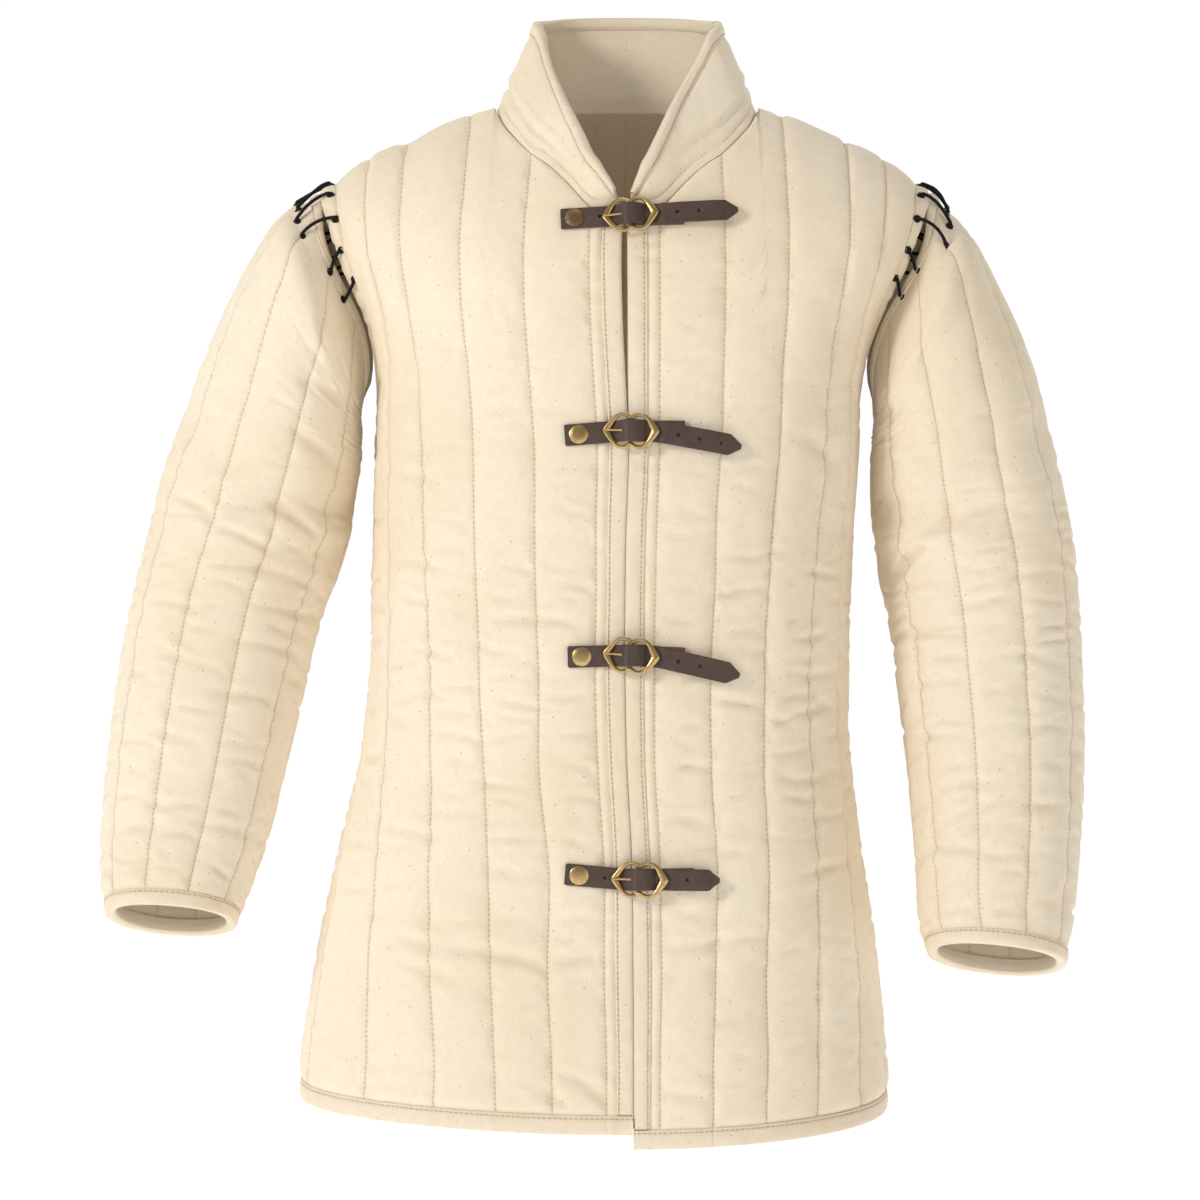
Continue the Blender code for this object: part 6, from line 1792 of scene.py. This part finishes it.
class Finish:
    """One material, or the world, put together from sockets."""

    def __init__(self, block):
        self.block = block
        block.use_nodes = True
        self.nodes, self.links = block.node_tree.nodes, block.node_tree.links

    def node(self, kind, settings=None, *values, output=0, **named):
        """Any node: its type, its settings, and what goes into its sockets."""
        made = self.nodes.new(kind)
        for key, value in (settings or {}).items():
            setattr(made, key, value)
        for key, value in [*enumerate(values), *named.items()]:
            self.put(made.inputs[key if isinstance(key, int) else key.replace("_", " ")], value)
        return Socket(self, made.outputs[output])

    def put(self, target, value):
        if isinstance(value, Socket):
            self.links.new(value.source, target)
        elif isinstance(value, (tuple, list)) and len(value) == 3 and len(target.default_value) == 4:
            target.default_value = (*value, 1.0)
        else:
            target.default_value = value

    def value(self, number):
        made = self.nodes.new("ShaderNodeValue")
        made.outputs[0].default_value = number
        return Socket(self, made.outputs[0])

    def mix(self, share, first, second):
        """Colour between two colours."""
        made = self.nodes.new("ShaderNodeMix")
        made.data_type = "RGBA"
        for index, value in ((0, share), (6, first), (7, second)):
            self.put(made.inputs[index], value)
        return Socket(self, made.outputs[2])

    def place(self):
        return self.node("ShaderNodeTexCoord", output=3)

    def map(self, name):
        """Both ways of a named texture map."""
        found = self.node("ShaderNodeUVMap", {"uv_map": name})
        split = self.nodes.new("ShaderNodeSeparateXYZ")
        self.links.new(found.source, split.inputs[0])
        return Socket(self, split.outputs[0]), Socket(self, split.outputs[1])

    def noise(self, scale, detail=2.0, rough=0.5):
        return self.node("ShaderNodeTexNoise", None, Vector=self.place(), Scale=scale, Detail=detail,
                         Roughness=rough)

    def cells(self, scale, feature="F1", output=0):
        return self.node("ShaderNodeTexVoronoi", {"feature": feature}, Vector=self.place(), Scale=scale,
                         output=output)

    def surface(self, colour, roughness, height=None, depth=0.001, **constants):
        """Sets what the material shows."""
        shader = self.nodes["Principled BSDF"]
        self.put(shader.inputs["Base Color"], colour)
        self.put(shader.inputs["Roughness"], roughness)
        for key, value in constants.items():
            self.put(shader.inputs[key.replace("_", " ")], value)
        if height is not None:
            bump = self.node("ShaderNodeBump", None, Strength=1.0, Distance=depth, Height=height)
            self.links.new(bump.source, shader.inputs["Normal"])
        return self.block


def new_finish(name, colour):
    block = bpy.data.materials.new(name)
    block.diffuse_color = (*colour, 1.0)
    return Finish(block)


def cotton(name, settings, tape=False):
    """Undyed cotton in plain weave, with seed flecks, painted shade along the seams and lines of stitching,
    and stitches whose holes are painted dark as shade.
    """
    colour = TAPE if tape else COTTON
    paint = new_finish(name, colour)
    across, along = paint.map("cloth")
    off_seam, seam_along = paint.map("seam")
    patch = paint.noise(7.0, 3.0)
    slub = paint.noise(150.0, 3.0, 0.6)
    fine = paint.noise(900.0, 3.0, 0.7)
    tone = paint.mix(patch.between(0.35, 0.65), tuple(c * k for c, k in zip(colour, (1.0, 0.985, 0.95))),
                     tuple(min(1.0, c * k) for c, k in zip(colour, (1.05, 1.06, 1.09))))
    tone = paint.mix(slub.between(0.3, 0.75) * 0.30, tone, tuple(c * 0.86 for c in colour))
    tone = paint.mix(fine.between(0.35, 0.75) * 0.22, tone, tuple(c * 0.74 for c in colour))
    seed = paint.cells(125.0)
    where = paint.cells(125.0, output=1)
    chosen = paint.node("ShaderNodeSeparateColor", None, where)
    fleck = seed.between(0.115, 0.06) * chosen.between(0.50, 0.60) * settings.flecks
    tone = paint.mix(fleck * 0.55, tone, (0.40, 0.26, 0.14))
    # painted shade: the cloth is darkened within 5 mm of each line of stitching, where it sinks into the
    # valley of the quilting
    stitch_valley_shade = off_seam.between(0.005, 0.0) * 0.07
    tone = paint.mix(stitch_valley_shade, tone, (0.58, 0.44, 0.28))
    dash = (seam_along / STITCH_LENGTH) % 1.0
    thread = dash.between(0.10, 0.22) * dash.between(0.90, 0.78)
    line = off_seam.between(*STITCH_WIDTH)
    tone = paint.mix(line * thread * 0.32, tone, (0.60, 0.45, 0.27))
    # painted shade: the stitch holes between the dashes of thread are painted dark brown
    tone = paint.mix(line * (1.0 - thread) * 0.38, tone, (0.30, 0.20, 0.11))
    weave = (across * WEAVE_TURNS).sin() * (along * WEAVE_TURNS).sin()
    height = weave * 0.10 + slub * 0.55 + fine * 0.45 + line * (thread - 0.6) * 0.9
    return paint.surface(tone, 0.92, height, 0.00045, Sheen_Weight=0.18, Sheen_Roughness=0.5,
                         Specular_IOR_Level=0.2)


def brown_leather(name, colour=BROWN_LEATHER):
    """Dark waxed leather: fine grain, rubbed high places and darker edges."""
    paint = new_finish(name, colour)
    across, _ = paint.map("cloth")
    patch, grain = paint.noise(55.0, 4.0, 0.6), paint.cells(1400.0)
    tone = paint.mix(patch.between(0.35, 0.7) * 0.6, colour, tuple(c * 1.6 for c in colour))
    tone = paint.mix(grain.between(0.5, 0.1) * 0.25, tone, tuple(c * 0.5 for c in colour))
    scuff = paint.noise(240.0, 4.0, 0.7).between(0.60, 0.78)
    tone = paint.mix(scuff * 0.15, tone, (0.17, 0.10, 0.07))
    rim = across.between(0.0010, 0.0003).most(across.between(STRAP_WIDTH - 0.0011, STRAP_WIDTH - 0.0004))
    tone = paint.mix(rim * 0.55, tone, tuple(c * 0.35 for c in colour))
    height = grain * 0.5 + paint.noise(600.0, 3.0, 0.6) * 0.6 + patch * 1.5
    return paint.surface(tone, 0.36 + patch * 0.22, height, 0.0004, Specular_IOR_Level=0.5)


def antique_brass(name, colour, roughness):
    """Brass with dark patina in uneven patches and small scratches."""
    paint = new_finish(name, colour)
    patina = paint.noise(260.0, 4.0, 0.65).between(0.45, 0.72)
    tone = paint.mix(patina * 0.55, colour, tuple(c * 0.42 for c in colour))
    scratch = paint.noise(1500.0, 2.0, 0.7)
    height = scratch * 0.3 + paint.noise(300.0, 2.0) * 0.5
    return paint.surface(tone, roughness + patina * 0.22, height, 0.00012, Metallic=1.0)


def black_cord(name):
    """Round braided cord, with painted shade in the grooves of its braid."""
    paint = new_finish(name, BLACK_CORD)
    around, along = paint.map("cloth")
    turn, lay = around * 6.2832 * 3.0, along * 2600.0
    braid = (turn + lay).sin().most((turn - lay).sin())
    # painted shade and highlight: the braid's grooves are painted darker and its crests lighter
    tone = paint.mix(braid.between(0.2, 1.0), (0.003, 0.003, 0.003), (0.010, 0.009, 0.009))
    return paint.surface(tone, 0.75, braid, 0.0003, Sheen_Weight=0.04, Specular_IOR_Level=0.2)


def enamel(name):
    """Black enamelled metal, a little worn."""
    paint = new_finish(name, (0.01, 0.01, 0.01))
    worn = paint.noise(500.0, 3.0, 0.6).between(0.62, 0.78)
    tone = paint.mix(worn * 0.4, (0.004, 0.004, 0.004), (0.04, 0.037, 0.035))
    return paint.surface(tone, 0.45 + worn * 0.2, paint.noise(700.0, 2.0), 0.0001,
                         Specular_IOR_Level=0.25)


def build_stage(settings):
    """Pale floor, soft even surroundings and the studio's lamps and camera."""
    paint = new_finish("pale_floor", (0.9, 0.9, 0.9))
    tone = paint.mix(paint.noise(3.0, 2.0) * 0.06, (0.92, 0.92, 0.92), (0.84, 0.84, 0.84))
    finish = paint.surface(tone, 0.8, None, Emission_Color=(1.0, 1.0, 1.0), Emission_Strength=0.55)
    vertices = [(x * FLOOR_HALF, y * FLOOR_HALF, settings.floor)
                for x, y in ((-1, -1), (1, -1), (1, 1), (-1, 1))]
    mesh = bpy.data.meshes.new("floor")
    mesh.from_pydata(vertices, [], [(0, 1, 2, 3)])
    mesh.materials.append(finish)
    floor = placed("floor", mesh)
    world = bpy.data.worlds.new("studio")
    bpy.context.scene.world = world
    sky = Finish(world)
    direction = sky.node("ShaderNodeTexCoord", output=0)
    split = sky.nodes.new("ShaderNodeSeparateXYZ")
    sky.links.new(direction.source, split.inputs[0])
    behind = Socket(sky, split.outputs[1]).between(-0.1, 0.75)
    background = sky.nodes["Background"]
    sky.put(background.inputs["Color"], sky.mix(behind, (1.0, 0.92, 0.80), (1.0, 1.0, 1.0)))
    sky.put(background.inputs["Strength"], behind * 0.74 + 0.28)
    for name, place, size, power, colour in LAMPS:
        lamp = bpy.data.lights.new(name, "AREA")
        lamp.shape, lamp.size, lamp.energy, lamp.color = "DISK", size, power, colour
        obj = placed(name, lamp)
        obj.location = place
        obj.rotation_euler = (Vector(LAMP_AIM) - Vector(place)).to_track_quat("-Z", "Y").to_euler()
    lens = bpy.data.cameras.new("camera")
    lens.lens, lens.sensor_width = LENS, SENSOR
    lens.clip_start, lens.clip_end = 0.1, 100.0
    camera = placed("camera", lens)
    camera.location = CAMERA_PLACE
    camera.rotation_euler = (math.pi / 2, 0.0, 0.0)
    bpy.context.scene.camera = camera
    bpy.context.scene.view_settings.view_transform = "Standard"


BUILT = {}


class JacketSettings(bpy.types.PropertyGroup):
    pucker: FloatProperty(name="Puckers", description="Height of the puckers beside the stitching",
                          default=0.0010, min=0.0, max=0.002, unit="LENGTH")
    wrinkle: FloatProperty(name="Wrinkles", description="Strength of the creases", default=1.9,
                           min=0.0, max=3.0, subtype="FACTOR")
    flecks: FloatProperty(name="Flecks", description="Strength of the seed flecks in the cotton",
                          default=1.0, min=0.0, max=1.0, subtype="FACTOR")
    lace_radius: FloatProperty(name="Lace radius", description="Radius of the black cord",
                               default=LACE_RADIUS, min=0.0005, max=0.003, unit="LENGTH")
    floor: FloatProperty(name="Floor", description="Height of the floor", default=-1.25,
                         unit="LENGTH")
    seed: IntProperty(name="Seed", description="Start of the uneven patterns", default=7)


class Step:
    """What every operator does: looks for the pieces it starts from, then builds its own."""
    needs = ()

    def execute(self, context):
        missing = [name for name in self.needs if name not in BUILT]
        if missing:
            self.report({"ERROR"}, "Build first: " + ", ".join(missing))
            return {"CANCELLED"}
        self.build(context.scene.jacket)
        return {"FINISHED"}


class JACKET_OT_body(Step, bpy.types.Operator):
    """Builds the two fronts and the back with their bindings"""
    bl_idname = "jacket.body"
    bl_label = "Body"
    build = staticmethod(build_body)


class JACKET_OT_collar(Step, bpy.types.Operator):
    """Builds the standing collar on the neckline"""
    bl_idname = "jacket.collar"
    bl_label = "Collar"
    needs = ("panels",)
    build = staticmethod(build_collar)


class JACKET_OT_sleeves(Step, bpy.types.Operator):
    """Builds both sleeves with their bindings"""
    bl_idname = "jacket.sleeves"
    bl_label = "Sleeves"
    needs = ("panels",)
    build = staticmethod(build_sleeves)


class JACKET_OT_lacing(Step, bpy.types.Operator):
    """Laces both sleeves to the body through black eyelets"""
    bl_idname = "jacket.lacing"
    bl_label = "Lacing"
    needs = ("panels", "sleeve_right", "sleeve_left")
    build = staticmethod(build_laces)


class JACKET_OT_straps(Step, bpy.types.Operator):
    """Builds the four leather straps with their buckles and rivets"""
    bl_idname = "jacket.straps"
    bl_label = "Straps"
    build = staticmethod(build_straps)


class JACKET_OT_stage(Step, bpy.types.Operator):
    """Sets up the floor, lamps and camera"""
    bl_idname = "jacket.stage"
    bl_label = "Stage"
    build = staticmethod(build_stage)


OPERATORS = (JACKET_OT_body, JACKET_OT_collar, JACKET_OT_sleeves, JACKET_OT_lacing, JACKET_OT_straps,
             JACKET_OT_stage)


class JACKET_PT_panel(bpy.types.Panel):
    """The jacket's pieces, in the order in which they are built"""
    bl_label = "Jacket"
    bl_idname = "JACKET_PT_panel"
    bl_space_type = "VIEW_3D"
    bl_region_type = "UI"
    bl_category = "Jacket"

    def draw(self, context):
        for name in JacketSettings.__annotations__:
            self.layout.prop(context.scene.jacket, name)
        for operator in OPERATORS:
            self.layout.operator(operator.bl_idname)


CLASSES = (JacketSettings, *OPERATORS, JACKET_PT_panel)


def register():
    for cls in CLASSES:
        bpy.utils.register_class(cls)
    bpy.types.Scene.jacket = PointerProperty(type=JacketSettings)


def unregister():
    del bpy.types.Scene.jacket
    for cls in reversed(CLASSES):
        bpy.utils.unregister_class(cls)


def main():
    """Builds everything in order."""
    for obj in list(bpy.context.scene.objects):
        if obj.type in ("CAMERA", "LIGHT") or obj.name == "Cube":
            bpy.data.objects.remove(obj)
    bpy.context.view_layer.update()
    register()
    bpy.ops.jacket.body()
    bpy.ops.jacket.collar()
    bpy.ops.jacket.sleeves()
    bpy.ops.jacket.lacing()
    bpy.ops.jacket.straps()
    bpy.ops.jacket.stage()


if __name__ == "__main__":
    main()
